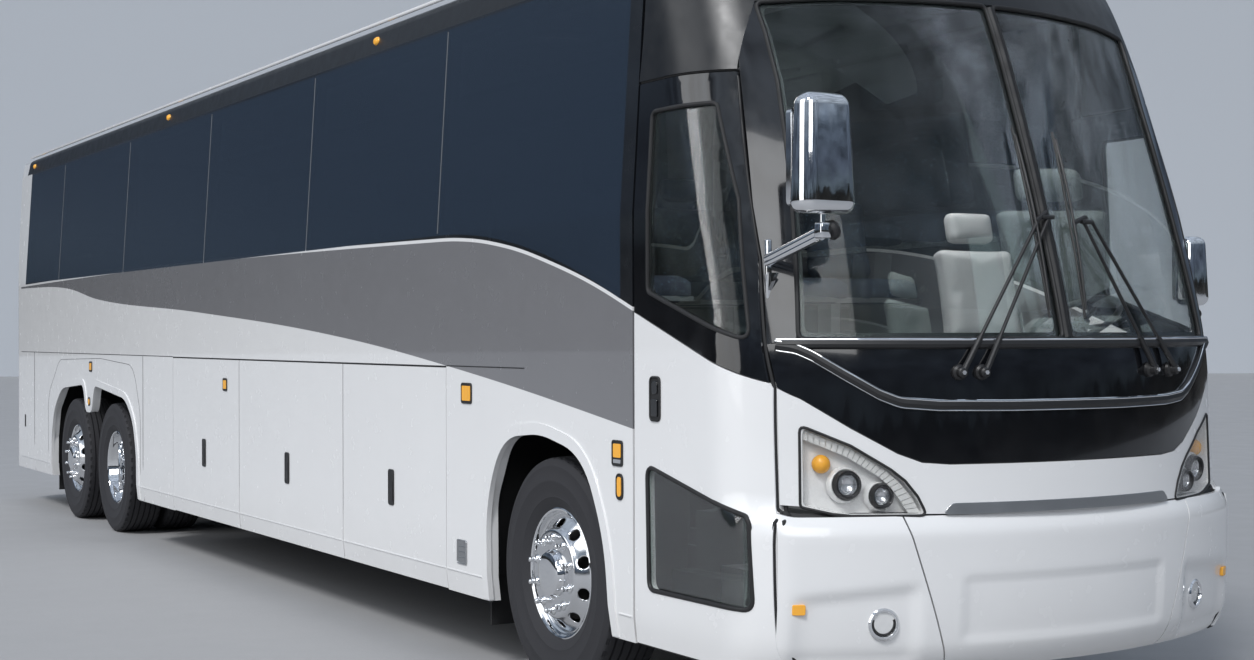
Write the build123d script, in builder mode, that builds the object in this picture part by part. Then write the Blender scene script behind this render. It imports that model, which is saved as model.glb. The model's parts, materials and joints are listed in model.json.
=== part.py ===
from build123d import *
import os
from math import atan2, cos, radians, sin, sqrt

os.makedirs("parts", exist_ok=True)

# Coach bus, three axles. Millimetres, +X forward, +Y left, +Z up, ground at z = 0.
# Overall sizes
overall_length = 13840.0
body_width = 2590.0
wheelbase = 8000.0
tag_spacing = 1360.0
roof_top_z = 3465.0
front_overhang = 2100.0
skirt_bottom_z = 339.0
skirt_crease_z = 450.0
skirt_tuck = 12.0
belt_z = 1481.0
sill_z = 2150.0
shoulder_z = roof_top_z - 235.0
shoulder_lean = 67.0
roof_edge_z = roof_top_z - 85.0
roof_edge_lean = 33.0
roof_edge_radius = 60.0
wall = 60.0
panel_gap = 10.0
glass = 10.0

# Lengthwise stations
half_length = overall_length / 2
half_width = body_width / 2
front_axle_x = half_length - front_overhang
drive_axle_x = front_axle_x - wheelbase
tag_axle_x = drive_axle_x - tag_spacing
mask_x = front_axle_x + 820.0
roof_cap_x = front_axle_x + 480.0
rear_cap_x = 360.0 - half_length
rear_corner_radius = 190.0
rear_bow_radius = 9000.0
rear_roof_radius = 260.0

# Floors
cabin_floor_z = 1480.0
cabin_floor = 50.0
bay_floor_z = 420.0
bay_floor = 40.0
driver_floor_z = 1130.0

# Wheels
tyre_radius = 538.0
tyre_width = 312.0
tyre_outer_y = half_width - 45.0
twin_spacing = 345.0
rim_radius = 285.0
rim_flange_radius = 303.0
bead_top_radius = 306.0
axle_z = tyre_radius
tyre_y = tyre_outer_y - tyre_width / 2
kingpin_y = tyre_y - 214.0


def side_y(z):
    """Half width of the body at height z."""
    if z <= skirt_crease_z:
        return half_width - skirt_tuck * (skirt_crease_z - z) / (skirt_crease_z - skirt_bottom_z)
    if z <= sill_z:
        return half_width
    if z <= shoulder_z:
        return half_width - shoulder_lean * (z - sill_z) / (shoulder_z - sill_z)
    return half_width - shoulder_lean - roof_edge_lean * (z - shoulder_z) / (roof_edge_z - shoulder_z)


def save(piece, name):
    """Label a finished piece and write it."""
    piece.part.label = name
    export_step(piece.part, "parts/" + name + ".step")


# Cross-section of the coach, swept along its length
def body_prism(inset, x_low, x_high):
    """The body's section, drawn inside the skin by inset, between two stations."""
    edge_y = side_y(roof_edge_z) - inset
    with BuildPart() as prism:
        with BuildSketch(Plane.YZ.offset(x_low)):
            with BuildLine():
                right = Polyline(
                    (-edge_y, roof_edge_z - inset),
                    (-side_y(shoulder_z) + inset, shoulder_z),
                    (-side_y(sill_z) + inset, sill_z),
                    (-side_y(skirt_crease_z) + inset, skirt_crease_z),
                    (-side_y(skirt_bottom_z) + inset, skirt_bottom_z),
                    (side_y(skirt_bottom_z) - inset, skirt_bottom_z),
                    (side_y(skirt_crease_z) - inset, skirt_crease_z),
                    (side_y(sill_z) - inset, sill_z),
                    (side_y(shoulder_z) - inset, shoulder_z),
                    (edge_y, roof_edge_z - inset),
                )
                ThreePointArc(right @ 1, (0, roof_top_z - inset), right @ 0)
            face = make_face()
            roof_corners = face.vertices().group_by(Axis.Y)[-1]
            fillet(roof_corners, roof_edge_radius)
        extrude(amount=x_high - x_low)
    return prism.part


def rear_prism(inset):
    """Plan and side outlines of the tail, as one solid to intersect with."""
    tail_x = -half_length + inset
    corner = rear_corner_radius - inset
    bow = rear_bow_radius - inset
    corner_y = half_width - inset - corner
    bow_x = tail_x + bow
    corner_x = bow_x - sqrt((bow - corner) ** 2 - corner_y**2)
    lean = atan2(corner_y, bow_x - corner_x)
    touch = (bow_x - bow * cos(lean), bow * sin(lean))
    middle = radians(45) + lean / 2
    bend = (corner_x - corner * sin(middle), corner_y + corner * cos(middle))
    with BuildPart() as tail:
        with BuildSketch(Plane.XY.offset(skirt_bottom_z)):
            with BuildLine():
                Polyline(
                    (corner_x, half_width - inset), (mask_x, half_width - inset),
                    (mask_x, -half_width + inset), (corner_x, -half_width + inset),
                )
                ThreePointArc((corner_x, half_width - inset), bend, touch)
                ThreePointArc(touch, (tail_x, 0), (touch[0], -touch[1]))
                ThreePointArc((touch[0], -touch[1]), (bend[0], -bend[1]), (corner_x, -half_width + inset))
            make_face()
        extrude(amount=roof_top_z - skirt_bottom_z)
        with BuildSketch(Plane.XZ.offset(-half_width)):
            with BuildLine():
                side = Polyline(
                    (tail_x, skirt_bottom_z), (tail_x, roof_top_z - inset),
                    (mask_x, roof_top_z - inset), (mask_x, skirt_bottom_z), (tail_x, skirt_bottom_z),
                )
            outline = make_face()
            top_corner = outline.vertices().group_by(Axis.Y)[-1].sort_by(Axis.X)[0]
            fillet(top_corner, rear_roof_radius - inset)
        extrude(amount=body_width, mode=Mode.INTERSECT)
    return tail.part


# Front outlines are drawn at these sizes and follow the body's real width and roof
drawn_half_width = 1295.0
drawn_shoulder_z = 3230.0
width_share = half_width / drawn_half_width


def rise(z):
    """Height of a drawn point, stretched between the sill and the real shoulder."""
    if z <= sill_z:
        return z
    if z <= drawn_shoulder_z:
        return sill_z + (z - sill_z) * (shoulder_z - sill_z) / (drawn_shoulder_z - sill_z)
    return z - drawn_shoulder_z + shoulder_z


def ahead(points):
    """Side-view outline from distances ahead of the front axle and heights."""
    return tuple((front_axle_x + x, rise(z)) for x, z in points)


def across(points):
    """Front-view outline from drawn distances off the centre plane and heights."""
    return tuple((y * width_share, rise(z)) for y, z in points)


# Front end, from plan outlines: height, setback of the nose, bow radius, corner radius
upper_front = (
    (934.0, 15.0, 2000.0, 350.0),
    (1380.0, 35.0, 2000.0, 350.0),
    (1620.0, 60.0, 2000.0, 350.0),
    (2150.0, 205.0, 2000.0, 360.0),
    (2700.0, 395.0, 2000.0, 380.0),
    (3010.0, 525.0, 2000.0, 400.0),
    (3230.0, 650.0, 2000.0, 410.0),
    (3380.0, 800.0, 2000.0, 400.0),
    (3470.0, 960.0, 2000.0, 380.0),
)
lower_front = (
    (339.0, 70.0, 2400.0, 290.0),
    (450.0, 20.0, 2400.0, 300.0),
    (850.0, 0.0, 2400.0, 300.0),
    (934.0, 12.0, 2400.0, 300.0),
)
loft_back_x = front_axle_x - 100.0


def front_loft(sections, inset):
    """Solid of the front end through its plan outlines, inset from the skin."""
    with BuildPart() as front:
        for drawn_height, setback, bow_radius, corner_radius in sections:
            height = rise(drawn_height)
            half = side_y(height) - inset
            corner = corner_radius * width_share - inset
            bow = bow_radius * width_share - inset
            bow_x = half_length - setback - bow_radius * width_share
            corner_y = half - corner
            corner_x = bow_x + sqrt((bow - corner) ** 2 - corner_y**2)
            lean = atan2(corner_y, corner_x - bow_x)
            touch = (bow_x + bow * cos(lean), bow * sin(lean))
            middle = radians(45) + lean / 2
            bend = (corner_x + corner * cos(middle), corner_y + corner * sin(middle))
            with BuildSketch(Plane.XY.offset(height)):
                with BuildLine():
                    Polyline((corner_x, half), (loft_back_x, half), (loft_back_x, -half), (corner_x, -half))
                    ThreePointArc((corner_x, half), bend, touch)
                    ThreePointArc(touch, (bow_x + bow, 0), (touch[0], -touch[1]))
                    ThreePointArc((touch[0], -touch[1]), (bend[0], -bend[1]), (corner_x, -half))
                make_face()
        loft(ruled=True)
    return front.part


def block(x_low, x_high, y_low, y_high, z_low, z_high):
    """Plain box between six planes, for cutting and joining."""
    with BuildPart() as box:
        with Locations(((x_low + x_high) / 2, (y_low + y_high) / 2, (z_low + z_high) / 2)):
            Box(x_high - x_low, y_high - y_low, z_high - z_low)
    return box.part


def above_roof(inset):
    """Everything over the roof line, to be cut off the front end."""
    over = block(loft_back_x, half_length, -half_width, half_width, shoulder_z, roof_top_z + wall)
    return over - body_prism(inset, loft_back_x, half_length)


def side_panel(outline, y_low, y_high, corner=0.0, grow=0.0):
    """Side-view outline of (x, z) points, pushed through from y_low to y_high."""
    with BuildPart() as panel:
        with BuildSketch(Plane.XZ.offset(-y_high)) as sketch:
            with BuildLine():
                Polyline(*outline, close=True)
            make_face()
            if grow:
                offset(amount=grow, kind=Kind.INTERSECTION)
            if corner:
                fillet(sketch.vertices(), corner)
        extrude(amount=y_high - y_low)
    return panel.part


def front_panel(outline, x_low, x_high, corner=0.0, grow=0.0):
    """Front-view outline of (y, z) points, pushed through from x_low to x_high."""
    with BuildPart() as panel:
        with BuildSketch(Plane.YZ.offset(x_low)) as sketch:
            with BuildLine():
                Polyline(*outline, close=True)
            make_face()
            if grow:
                offset(amount=grow, kind=Kind.INTERSECTION)
            if corner:
                fillet(sketch.vertices(), corner)
        extrude(amount=x_high - x_low)
    return panel.part


def mirrored(outline):
    """The same outline on the other side of the centre plane."""
    return tuple((-across, height) for across, height in outline)


def left_and_right(outline):
    """Right-hand outline with its left-hand twin."""
    return (outline, mirrored(outline))


# Skins and cores that the body panels are cut from
body_outer = body_prism(0.0, -half_length, mask_x) & rear_prism(0.0)
body_glass = body_prism(glass, -half_length, mask_x) & rear_prism(glass)
body_inner = body_prism(wall, -half_length, mask_x) & rear_prism(wall)
body_shell = body_outer - body_inner
body_skin = body_outer - body_glass
upper_outer = front_loft(upper_front, 0.0) - above_roof(0.0)
upper_inner = front_loft(upper_front, wall) - above_roof(wall)
upper_skin = upper_outer - front_loft(upper_front, glass)
upper_shell = upper_outer - upper_inner
lower_outer = front_loft(lower_front, 0.0)
lower_inner = front_loft(lower_front, wall)
lower_shell = lower_outer - lower_inner
front_split_z = upper_front[0][0]

# Openings in the sides
bay_low_x = drive_axle_x + 970.0
bay_high_x = front_axle_x - 1090.0
bay_shares = (0.1667, 0.431, 0.7542, 1.0)
bay_edges = [bay_low_x + share * (bay_high_x - bay_low_x) for share in bay_shares]
bay_door = 45.0
bay_door_low_z = 345.0
bay_door_high_z = belt_z - panel_gap
pane_low_x = rear_cap_x + 220.0
pane_high_x = mask_x - 100.0
pane_shares = (0.0, 0.1187, 0.3106, 0.4958, 0.6726, 0.8384, 1.0)
pane_edges = [pane_low_x + share * (pane_high_x - pane_low_x) for share in pane_shares]
pane_gap = 8.0
pane_rebate = 45.0
pane_top_z = shoulder_z - 15.0
last_pane_low_z = 1790.0
sill_steps = 8
arch_foot_z = -200.0
front_arch_corner = 240.0
rear_arch_corner = 100.0
tab_x = 80.0 - tag_spacing / 2
front_arch = (
    (-600.0, arch_foot_z), (-610.0, 830.0), (-430.0, 1150.0), (-30.0, 1185.0),
    (390.0, 1110.0), (580.0, 750.0), (670.0, arch_foot_z),
)
rear_arch = (
    (970.0, arch_foot_z), (945.0, 700.0), (850.0, 960.0), (610.0, 1130.0), (-400.0, 1215.0),
    (tab_x + 100.0, 980.0), (tab_x - 100.0, 980.0), (tab_x - 200.0, 1215.0), (-tag_spacing - 250.0, 1165.0),
    (-tag_spacing - 560.0, 960.0), (-tag_spacing - 660.0, 700.0), (-tag_spacing - 690.0, arch_foot_z),
)


def pane_outline(index, shrink):
    """Side-view corners of one window pane, drawn in by shrink."""
    x_low = pane_edges[index] + pane_gap / 2 + shrink
    x_high = pane_edges[index + 1] - pane_gap / 2 - shrink
    low, high = sill_z + shrink, pane_top_z - shrink
    if index < len(pane_edges) - 2:
        return ((x_low, low), (x_high, low), (x_high, high), (x_low, high))
    sill = [
        (x_low + (x_high - x_low) * i / sill_steps, low - (sill_z - last_pane_low_z) * (i / sill_steps) ** 2)
        for i in range(sill_steps + 1)
    ]
    return (*sill, (x_high, high), (x_low, high))


pane_count = len(pane_edges) - 1
glass_panes = [side_panel(pane_outline(i, 0.0), -half_width, half_width) for i in range(pane_count)]
window_holes = [side_panel(pane_outline(i, pane_rebate), -half_width, half_width) for i in range(pane_count)]

for side, name in ((-1, "side_wall_right"), (1, "side_wall_left")):
    half_space = block(rear_cap_x, mask_x, min(0.0, side * half_width), max(0.0, side * half_width),
                       skirt_bottom_z, shoulder_z)
    with BuildPart() as side_wall:
        add(body_shell & half_space)
        for hole in window_holes:
            add(hole, mode=Mode.SUBTRACT)
        for pane in glass_panes:
            add(pane & body_skin, mode=Mode.SUBTRACT)
        add(block(bay_edges[0], bay_edges[-1], -half_width, half_width, skirt_bottom_z, belt_z),
            mode=Mode.SUBTRACT)
        add(side_panel([(front_axle_x + x, z) for x, z in front_arch], -half_width, half_width,
                       corner=front_arch_corner), mode=Mode.SUBTRACT)
        add(side_panel([(drive_axle_x + x, z) for x, z in rear_arch], -half_width, half_width,
                       corner=rear_arch_corner), mode=Mode.SUBTRACT)
    save(side_wall, name)

with BuildPart() as side_glass:
    for pane in glass_panes:
        add(pane & body_skin)
save(side_glass, "side_glass")

# Roof with two hatch openings, each on a raised curb
hatch_places = (0.3757 * half_length, -0.4913 * half_length)
hatch_length = 760.0
hatch_width = 620.0
hatch_lid = 30.0
hatch_seat_z = roof_top_z + 5.0
curb_wall = 40.0
hatch_lip = 20.0
panel_seam = 1.0
pin_radius = 10.0
hatch_pin_radius = 5.0
hatch_hinge_x = hatch_length / 2 + 14.0
hatch_hinge_z = hatch_seat_z + 12.0
hatch_hinge_places = (-200.0, 200.0)
hinge_clearance = 0.05
with BuildPart() as roof_shell:
    add(body_shell & block(rear_cap_x, roof_cap_x, -half_width, half_width, shoulder_z, roof_top_z))
    for hatch_x in hatch_places:
        outer_x = hatch_length / 2 - hatch_lip
        outer_y = hatch_width / 2 - hatch_lip
        add(block(hatch_x - outer_x, hatch_x + outer_x, -outer_y, outer_y, roof_top_z - wall, roof_top_z))
        add(block(hatch_x - outer_x + curb_wall, hatch_x + outer_x - curb_wall, -outer_y + curb_wall,
                  outer_y - curb_wall, roof_top_z - 2 * wall, roof_top_z), mode=Mode.SUBTRACT)
        for seam_x in (hatch_x - outer_x + curb_wall, hatch_x + outer_x - curb_wall):
            add(block(seam_x - panel_seam / 2, seam_x + panel_seam / 2, -half_width, half_width, shoulder_z,
                      roof_top_z), mode=Mode.SUBTRACT)
        for hinge_y in hatch_hinge_places:
            for lug_y in (hinge_y - 36.0, hinge_y + 36.0):
                add(block(hatch_x + hatch_hinge_x - 8.0, hatch_x + hatch_hinge_x + 8.0, lug_y - 8.0,
                          lug_y + 8.0, roof_top_z - 30.0, hatch_hinge_z))
            with BuildSketch(Plane.XZ.offset(-hinge_y - 44.0)):
                with Locations((hatch_x + hatch_hinge_x, hatch_hinge_z)):
                    Circle(hatch_pin_radius)
            extrude(amount=88.0)
save(roof_shell, "roof_shell")

for hatch_x, name in zip(hatch_places, ("roof_hatch_front", "roof_hatch_rear")):
    with BuildPart() as roof_hatch:
        add(block(hatch_x - hatch_length / 2, hatch_x + hatch_length / 2, -hatch_width / 2,
                  hatch_width / 2, hatch_seat_z, hatch_seat_z + hatch_lid))
        fillet(roof_hatch.edges().filter_by(Axis.Z), 60.0)
        chamfer(roof_hatch.faces().sort_by(Axis.Z)[-1].edges(), 10.0)
        for hinge_y in hatch_hinge_places:
            add(block(hatch_x + hatch_length / 2 - 20.0, hatch_x + hatch_hinge_x, hinge_y - 20.0,
                      hinge_y + 20.0, hatch_hinge_z - 9.0, hatch_hinge_z + 5.0))
            with BuildSketch(Plane.XZ.offset(-hinge_y - 20.0)):
                with Locations((hatch_x + hatch_hinge_x, hatch_hinge_z)):
                    Circle(9.0)
            extrude(amount=40.0)
            with BuildSketch(Plane.XZ.offset(-hinge_y - 20.0)):
                with Locations((hatch_x + hatch_hinge_x, hatch_hinge_z)):
                    Circle(hatch_pin_radius + hinge_clearance)
            extrude(amount=40.0, mode=Mode.SUBTRACT)
    save(roof_hatch, name)

# Tail: cap, engine door, bumper
engine_door_half = half_width - 395.0
engine_door_low_z = 700.0
engine_door_high_z = 1700.0
rear_bumper_top_z = 680.0
engine_pin_radius = 6.0
engine_hinge_x = -half_length - 14.0
engine_hinge_z = engine_door_high_z - panel_gap / 2
engine_hinge_places = (-0.65 * engine_door_half, 0.65 * engine_door_half)
louvre_levels = [800.0 + 55.0 * i for i in range(9)]
louvre_half = 0.7 * engine_door_half
louvre_height = 22.0
with BuildPart() as rear_cap:
    add(body_shell & block(-half_length, rear_cap_x, -half_width, half_width, rear_bumper_top_z, roof_top_z))
    add(block(-half_length, rear_cap_x, -engine_door_half, engine_door_half, engine_door_low_z,
              engine_door_high_z), mode=Mode.SUBTRACT)
    for hinge_y in engine_hinge_places:
        for lug_y in (hinge_y - 38.0, hinge_y + 38.0):
            add(block(engine_hinge_x - 8.0, wall / 2 - half_length, lug_y - 9.0, lug_y + 9.0,
                      engine_door_high_z, engine_door_high_z + 32.0))
            with BuildSketch(Plane.XZ.offset(-lug_y - 9.0)):
                with Locations((engine_hinge_x, engine_hinge_z)):
                    Circle(13.0)
            extrude(amount=18.0)
        with BuildSketch(Plane.XZ.offset(-hinge_y - 47.0)):
            with Locations((engine_hinge_x, engine_hinge_z)):
                Circle(engine_pin_radius)
        extrude(amount=94.0)
save(rear_cap, "rear_cap")

with BuildPart() as rear_bumper:
    add(body_shell & block(-half_length, rear_cap_x, -half_width, half_width, skirt_bottom_z,
                           rear_bumper_top_z))
save(rear_bumper, "rear_bumper")

with BuildPart() as engine_door:
    add(body_shell & block(-half_length, rear_cap_x, -engine_door_half + panel_gap,
                           engine_door_half - panel_gap, engine_door_low_z + panel_gap,
                           engine_door_high_z - panel_gap))
    for level in louvre_levels:
        add(block(-half_length, rear_cap_x, -louvre_half, louvre_half, level, level + louvre_height),
            mode=Mode.SUBTRACT)
    for hinge_y in engine_hinge_places:
        add(block(engine_hinge_x - 6.0, wall / 2 - half_length, hinge_y - 22.0, hinge_y + 22.0,
                  engine_hinge_z - 40.0, engine_hinge_z - 14.0))
        add(block(engine_hinge_x - 6.0, engine_hinge_x + 6.0, hinge_y - 22.0, hinge_y + 22.0,
                  engine_hinge_z - 20.0, engine_hinge_z))
        with BuildSketch(Plane.XZ.offset(-hinge_y - 22.0)):
            with Locations((engine_hinge_x, engine_hinge_z)):
                Circle(13.0)
        extrude(amount=44.0)
        with BuildSketch(Plane.XZ.offset(-hinge_y - 22.0)):
            with Locations((engine_hinge_x, engine_hinge_z)):
                Circle(engine_pin_radius + hinge_clearance)
        extrude(amount=44.0, mode=Mode.SUBTRACT)
save(engine_door, "engine_door")

# Front mask, windscreen, headlamps, bumper
screen_post = 12.0
screen_outline = across((
    (-screen_post, 1617.0), (-1080.0, 1612.0), (-1028.0, 2150.0), (-992.0, 2650.0),
    (-1005.0, 2985.0), (-screen_post, 3010.0),
))
screen_rebate = 30.0
headlamp_outline = across((
    (-1092.0, 1286.0), (-1096.0, 977.0), (-929.0, 940.0), (-656.0, 938.0), (-785.0, 1111.0), (-923.0, 1210.0),
))
headlamp_low_x = front_axle_x + 1725.0
bumper_x = front_axle_x + 1758.0
entry_door_outline = ahead((
    (835.0, 345.0), (1748.0, 345.0), (1748.0, 925.0), (1702.0, 960.0), (1682.0, 1431.0),
    (1582.0, 1930.0), (1360.0, 2690.0), (835.0, 2690.0),
))
driver_window_outline = ahead(((870.0, 1800.0), (1510.0, 1800.0), (1200.0, 3000.0), (870.0, 3000.0)))
window_corner = 40.0
entry_door_wall = 50.0
side_depth = 695.0
with BuildPart() as front_mask:
    add(upper_shell & block(mask_x, half_length, -half_width, half_width, front_split_z, roof_top_z))
    add(upper_shell & block(roof_cap_x, mask_x, -half_width, half_width, shoulder_z, roof_top_z))
    add(lower_shell & block(mask_x, bumper_x, 0.0, half_width, skirt_bottom_z, front_split_z))
    add(side_panel(entry_door_outline, -half_width, side_depth - half_width, grow=panel_gap),
        mode=Mode.SUBTRACT)
    add(side_panel(driver_window_outline, half_width - side_depth, half_width, corner=window_corner),
        mode=Mode.SUBTRACT)
    for outline in left_and_right(screen_outline):
        add(front_panel(outline, mask_x, half_length) & upper_skin, mode=Mode.SUBTRACT)
        add(front_panel(outline, mask_x, half_length, grow=-screen_rebate), mode=Mode.SUBTRACT)
    for outline in left_and_right(headlamp_outline):
        add(front_panel(outline, headlamp_low_x, half_length), mode=Mode.SUBTRACT)
save(front_mask, "front_mask")

with BuildPart() as windscreen:
    for outline in left_and_right(screen_outline):
        add(front_panel(outline, mask_x, half_length) & upper_skin)
    add(side_panel(driver_window_outline, half_width - side_depth, half_width, corner=window_corner)
        & upper_skin)
save(windscreen, "windscreen")

# Headlamps, with the fog lamps in the bumper, and the bumper with its shallow recess and scoops
fog_y = 740.0 * width_share
fog_z = 530.0
fog_radius = 58.0
fog_depth = 40.0
recess_depth = 10.0
scoop_depth = 20.0
panel_corner = 40.0
recess_outline = across(((-430.0, 455.0), (430.0, 455.0), (430.0, 700.0), (-430.0, 700.0)))
scoop_outline = across(((-1010.0, 420.0), (-640.0, 400.0), (-620.0, 660.0), (-1010.0, 625.0)))


def fog_barrel(side):
    """Round space of one fog lamp."""
    with BuildPart() as barrel:
        with BuildSketch(Plane.YZ.offset(bumper_x)):
            with Locations((side * fog_y, fog_z)):
                Circle(fog_radius)
        extrude(amount=half_length - bumper_x)
    return barrel.part


fog_layer = front_loft(lower_front, scoop_depth) - front_loft(lower_front, scoop_depth + fog_depth - 5.0)
with BuildPart() as headlamps:
    for outline in left_and_right(headlamp_outline):
        add(front_panel(outline, headlamp_low_x, half_length) & upper_shell)
    for side in (-1, 1):
        add(fog_barrel(side) & fog_layer)
save(headlamps, "headlamps")

with BuildPart() as front_bumper:
    add(lower_shell & block(bumper_x, half_length, -half_width, half_width, skirt_bottom_z, front_split_z))
    add(front_panel(recess_outline, bumper_x, half_length, corner=panel_corner)
        & (lower_outer - front_loft(lower_front, recess_depth)), mode=Mode.SUBTRACT)
    for outline in left_and_right(scoop_outline):
        add(front_panel(outline, bumper_x, half_length, corner=panel_corner)
            & (lower_outer - front_loft(lower_front, scoop_depth)), mode=Mode.SUBTRACT)
    for side in (-1, 1):
        add(fog_barrel(side) & fog_layer, mode=Mode.SUBTRACT)
save(front_bumper, "front_bumper")

# Entry door: outer panel follows the front skin, with two windows and hinge lugs
door_axis_x = front_axle_x + 1640.0
door_axis_y = 105.0 - half_width
hinge_pin_radius = 12.0
hinge_lug_radius = 22.0
hinge_levels = (380.0, 860.0)
hinge_lug_height = 40.0
hinge_shaft_low_z = 305.0
hinge_shaft_high_z = 915.0
hinge_bracket_top_z = 335.0
upper_door_glass = ahead((
    (943.0, 1815.0), (1605.0, 1612.0), (1484.0, 2166.0), (1330.0, 2565.0), (943.0, 2565.0),
))
lower_door_glass = ahead(((936.0, 1096.0), (1662.0, 935.0), (1680.0, 583.0), (950.0, 580.0)))
door_glass_outlines = (upper_door_glass, lower_door_glass)
door_shell = (
    (upper_outer & block(mask_x, half_length, -half_width, 0.0, front_split_z, roof_top_z))
    + (lower_outer & block(mask_x, half_length, -half_width, 0.0, skirt_bottom_z, front_split_z))
) - front_loft(upper_front, entry_door_wall) - front_loft(lower_front, entry_door_wall)
door_skin = (
    (upper_outer & block(mask_x, half_length, -half_width, 0.0, front_split_z, roof_top_z))
    + (lower_outer & block(mask_x, half_length, -half_width, 0.0, skirt_bottom_z, front_split_z))
) - front_loft(upper_front, glass) - front_loft(lower_front, glass)
with BuildPart() as entry_door:
    add(door_shell & side_panel(entry_door_outline, -half_width, side_depth - half_width))
    for outline in door_glass_outlines:
        add(side_panel(outline, -half_width, side_depth - half_width) & door_skin, mode=Mode.SUBTRACT)
        add(side_panel(outline, -half_width, side_depth - half_width, grow=-screen_rebate), mode=Mode.SUBTRACT)
    add(block(door_axis_x - hinge_lug_radius, door_axis_x + hinge_lug_radius, door_axis_y - hinge_lug_radius,
              side_depth - half_width, skirt_bottom_z, hinge_levels[0]), mode=Mode.SUBTRACT)
    for level in hinge_levels:
        with BuildSketch(Plane.XY.offset(level)):
            with Locations((door_axis_x, door_axis_y)):
                Circle(hinge_lug_radius)
            with Locations((door_axis_x, door_axis_y - hinge_lug_radius)):
                Rectangle(2 * hinge_lug_radius, 2 * hinge_lug_radius)
        extrude(amount=hinge_lug_height)
        with BuildSketch(Plane.XY.offset(level)):
            with Locations((door_axis_x, door_axis_y)):
                Circle(hinge_pin_radius + hinge_clearance)
        extrude(amount=hinge_lug_height, mode=Mode.SUBTRACT)
save(entry_door, "entry_door")

with BuildPart() as entry_door_glass:
    for outline in door_glass_outlines:
        add(side_panel(outline, -half_width, side_depth - half_width) & door_skin)
save(entry_door_glass, "entry_door_glass")

# Luggage bays: bulkheads with pivots, floor, parallel-lift arms and doors
bulkhead = 30.0
arm_pivot_y = half_width - 125.0
arm_pivot_z = 1390.0
arm_length = 650.0
arm_bar = 14.0
arm_half_width = 20.0
arm_inset = 60.0
bulkhead_places = [bay_low_x] + bay_edges
inner_half = half_width - wall
with BuildPart() as luggage_bulkheads:
    for place in bulkhead_places:
        add(block(place - bulkhead / 2, place + bulkhead / 2, -inner_half + 10.0, inner_half - 10.0,
                  bay_floor_z, cabin_floor_z - cabin_floor))
    for index in range(3):
        for pin_x, reach in ((bay_edges[index] + bulkhead / 2, 1), (bay_edges[index + 1] - bulkhead / 2, -1)):
            with BuildSketch(Plane.YZ.offset(pin_x)):
                with Locations((arm_pivot_y, arm_pivot_z), (-arm_pivot_y, arm_pivot_z)):
                    Circle(pin_radius)
            extrude(amount=reach * (arm_inset + arm_bar - bulkhead / 2))
save(luggage_bulkheads, "luggage_bulkheads")

with BuildPart() as bay_floor_panel:
    add(block(bay_low_x, bay_edges[-1], -inner_half + 10.0, inner_half - 10.0, bay_floor_z - bay_floor,
              bay_floor_z))
save(bay_floor_panel, "luggage_floor")

door_layer = body_prism(0.0, -half_length, mask_x) - body_prism(bay_door, -half_length, mask_x)
for side, side_name in ((-1, "right"), (1, "left")):
    for index in range(3):
        low_x = bay_edges[index]
        high_x = bay_edges[index + 1]
        number = str(index + 1)
        arm_places = (low_x + arm_inset, high_x - arm_inset - arm_bar)
        door_half = block(low_x + panel_gap / 2, high_x - panel_gap / 2, min(0.0, side * half_width),
                          max(0.0, side * half_width), bay_door_low_z, bay_door_high_z)
        low_pivot_z = arm_pivot_z - arm_length
        lug_y = sorted((side * (arm_pivot_y - arm_half_width), side * (half_width - bay_door)))
        with BuildPart() as bay_door_part:
            add(door_layer & door_half)
            for place, reach in zip(arm_places, (1, -1)):
                lug_x = place + arm_bar + 2.0 if reach > 0 else place - 2.0
                lug_faces = sorted((lug_x, lug_x + reach * 20.0))
                add(block(lug_faces[0], lug_faces[1], lug_y[0], lug_y[1], low_pivot_z - 25.0,
                          low_pivot_z + 25.0))
                with BuildSketch(Plane.YZ.offset(lug_x)):
                    with Locations((side * arm_pivot_y, low_pivot_z)):
                        Circle(pin_radius)
                extrude(amount=-reach * (arm_bar + 2.0))
        save(bay_door_part, "bay_door_" + side_name + "_" + number)
        with BuildPart() as bay_arms:
            for place in arm_places:
                with BuildSketch(Plane.YZ.offset(place)):
                    with Locations((side * arm_pivot_y, arm_pivot_z - arm_length / 2)):
                        SlotCenterToCenter(arm_length, 2 * arm_half_width, rotation=90)
                    with Locations((side * arm_pivot_y, arm_pivot_z), (side * arm_pivot_y, low_pivot_z)):
                        Circle(pin_radius + hinge_clearance, mode=Mode.SUBTRACT)
                extrude(amount=arm_bar)
        save(bay_arms, "bay_arms_" + side_name + "_" + number)

# Floors
deck_low_x = rear_cap_x
deck_high_x = front_axle_x + 740.0
with BuildPart() as floor_deck:
    add(block(deck_low_x, deck_high_x, -inner_half, inner_half, cabin_floor_z - cabin_floor, cabin_floor_z))
save(floor_deck, "floor_deck")

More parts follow.
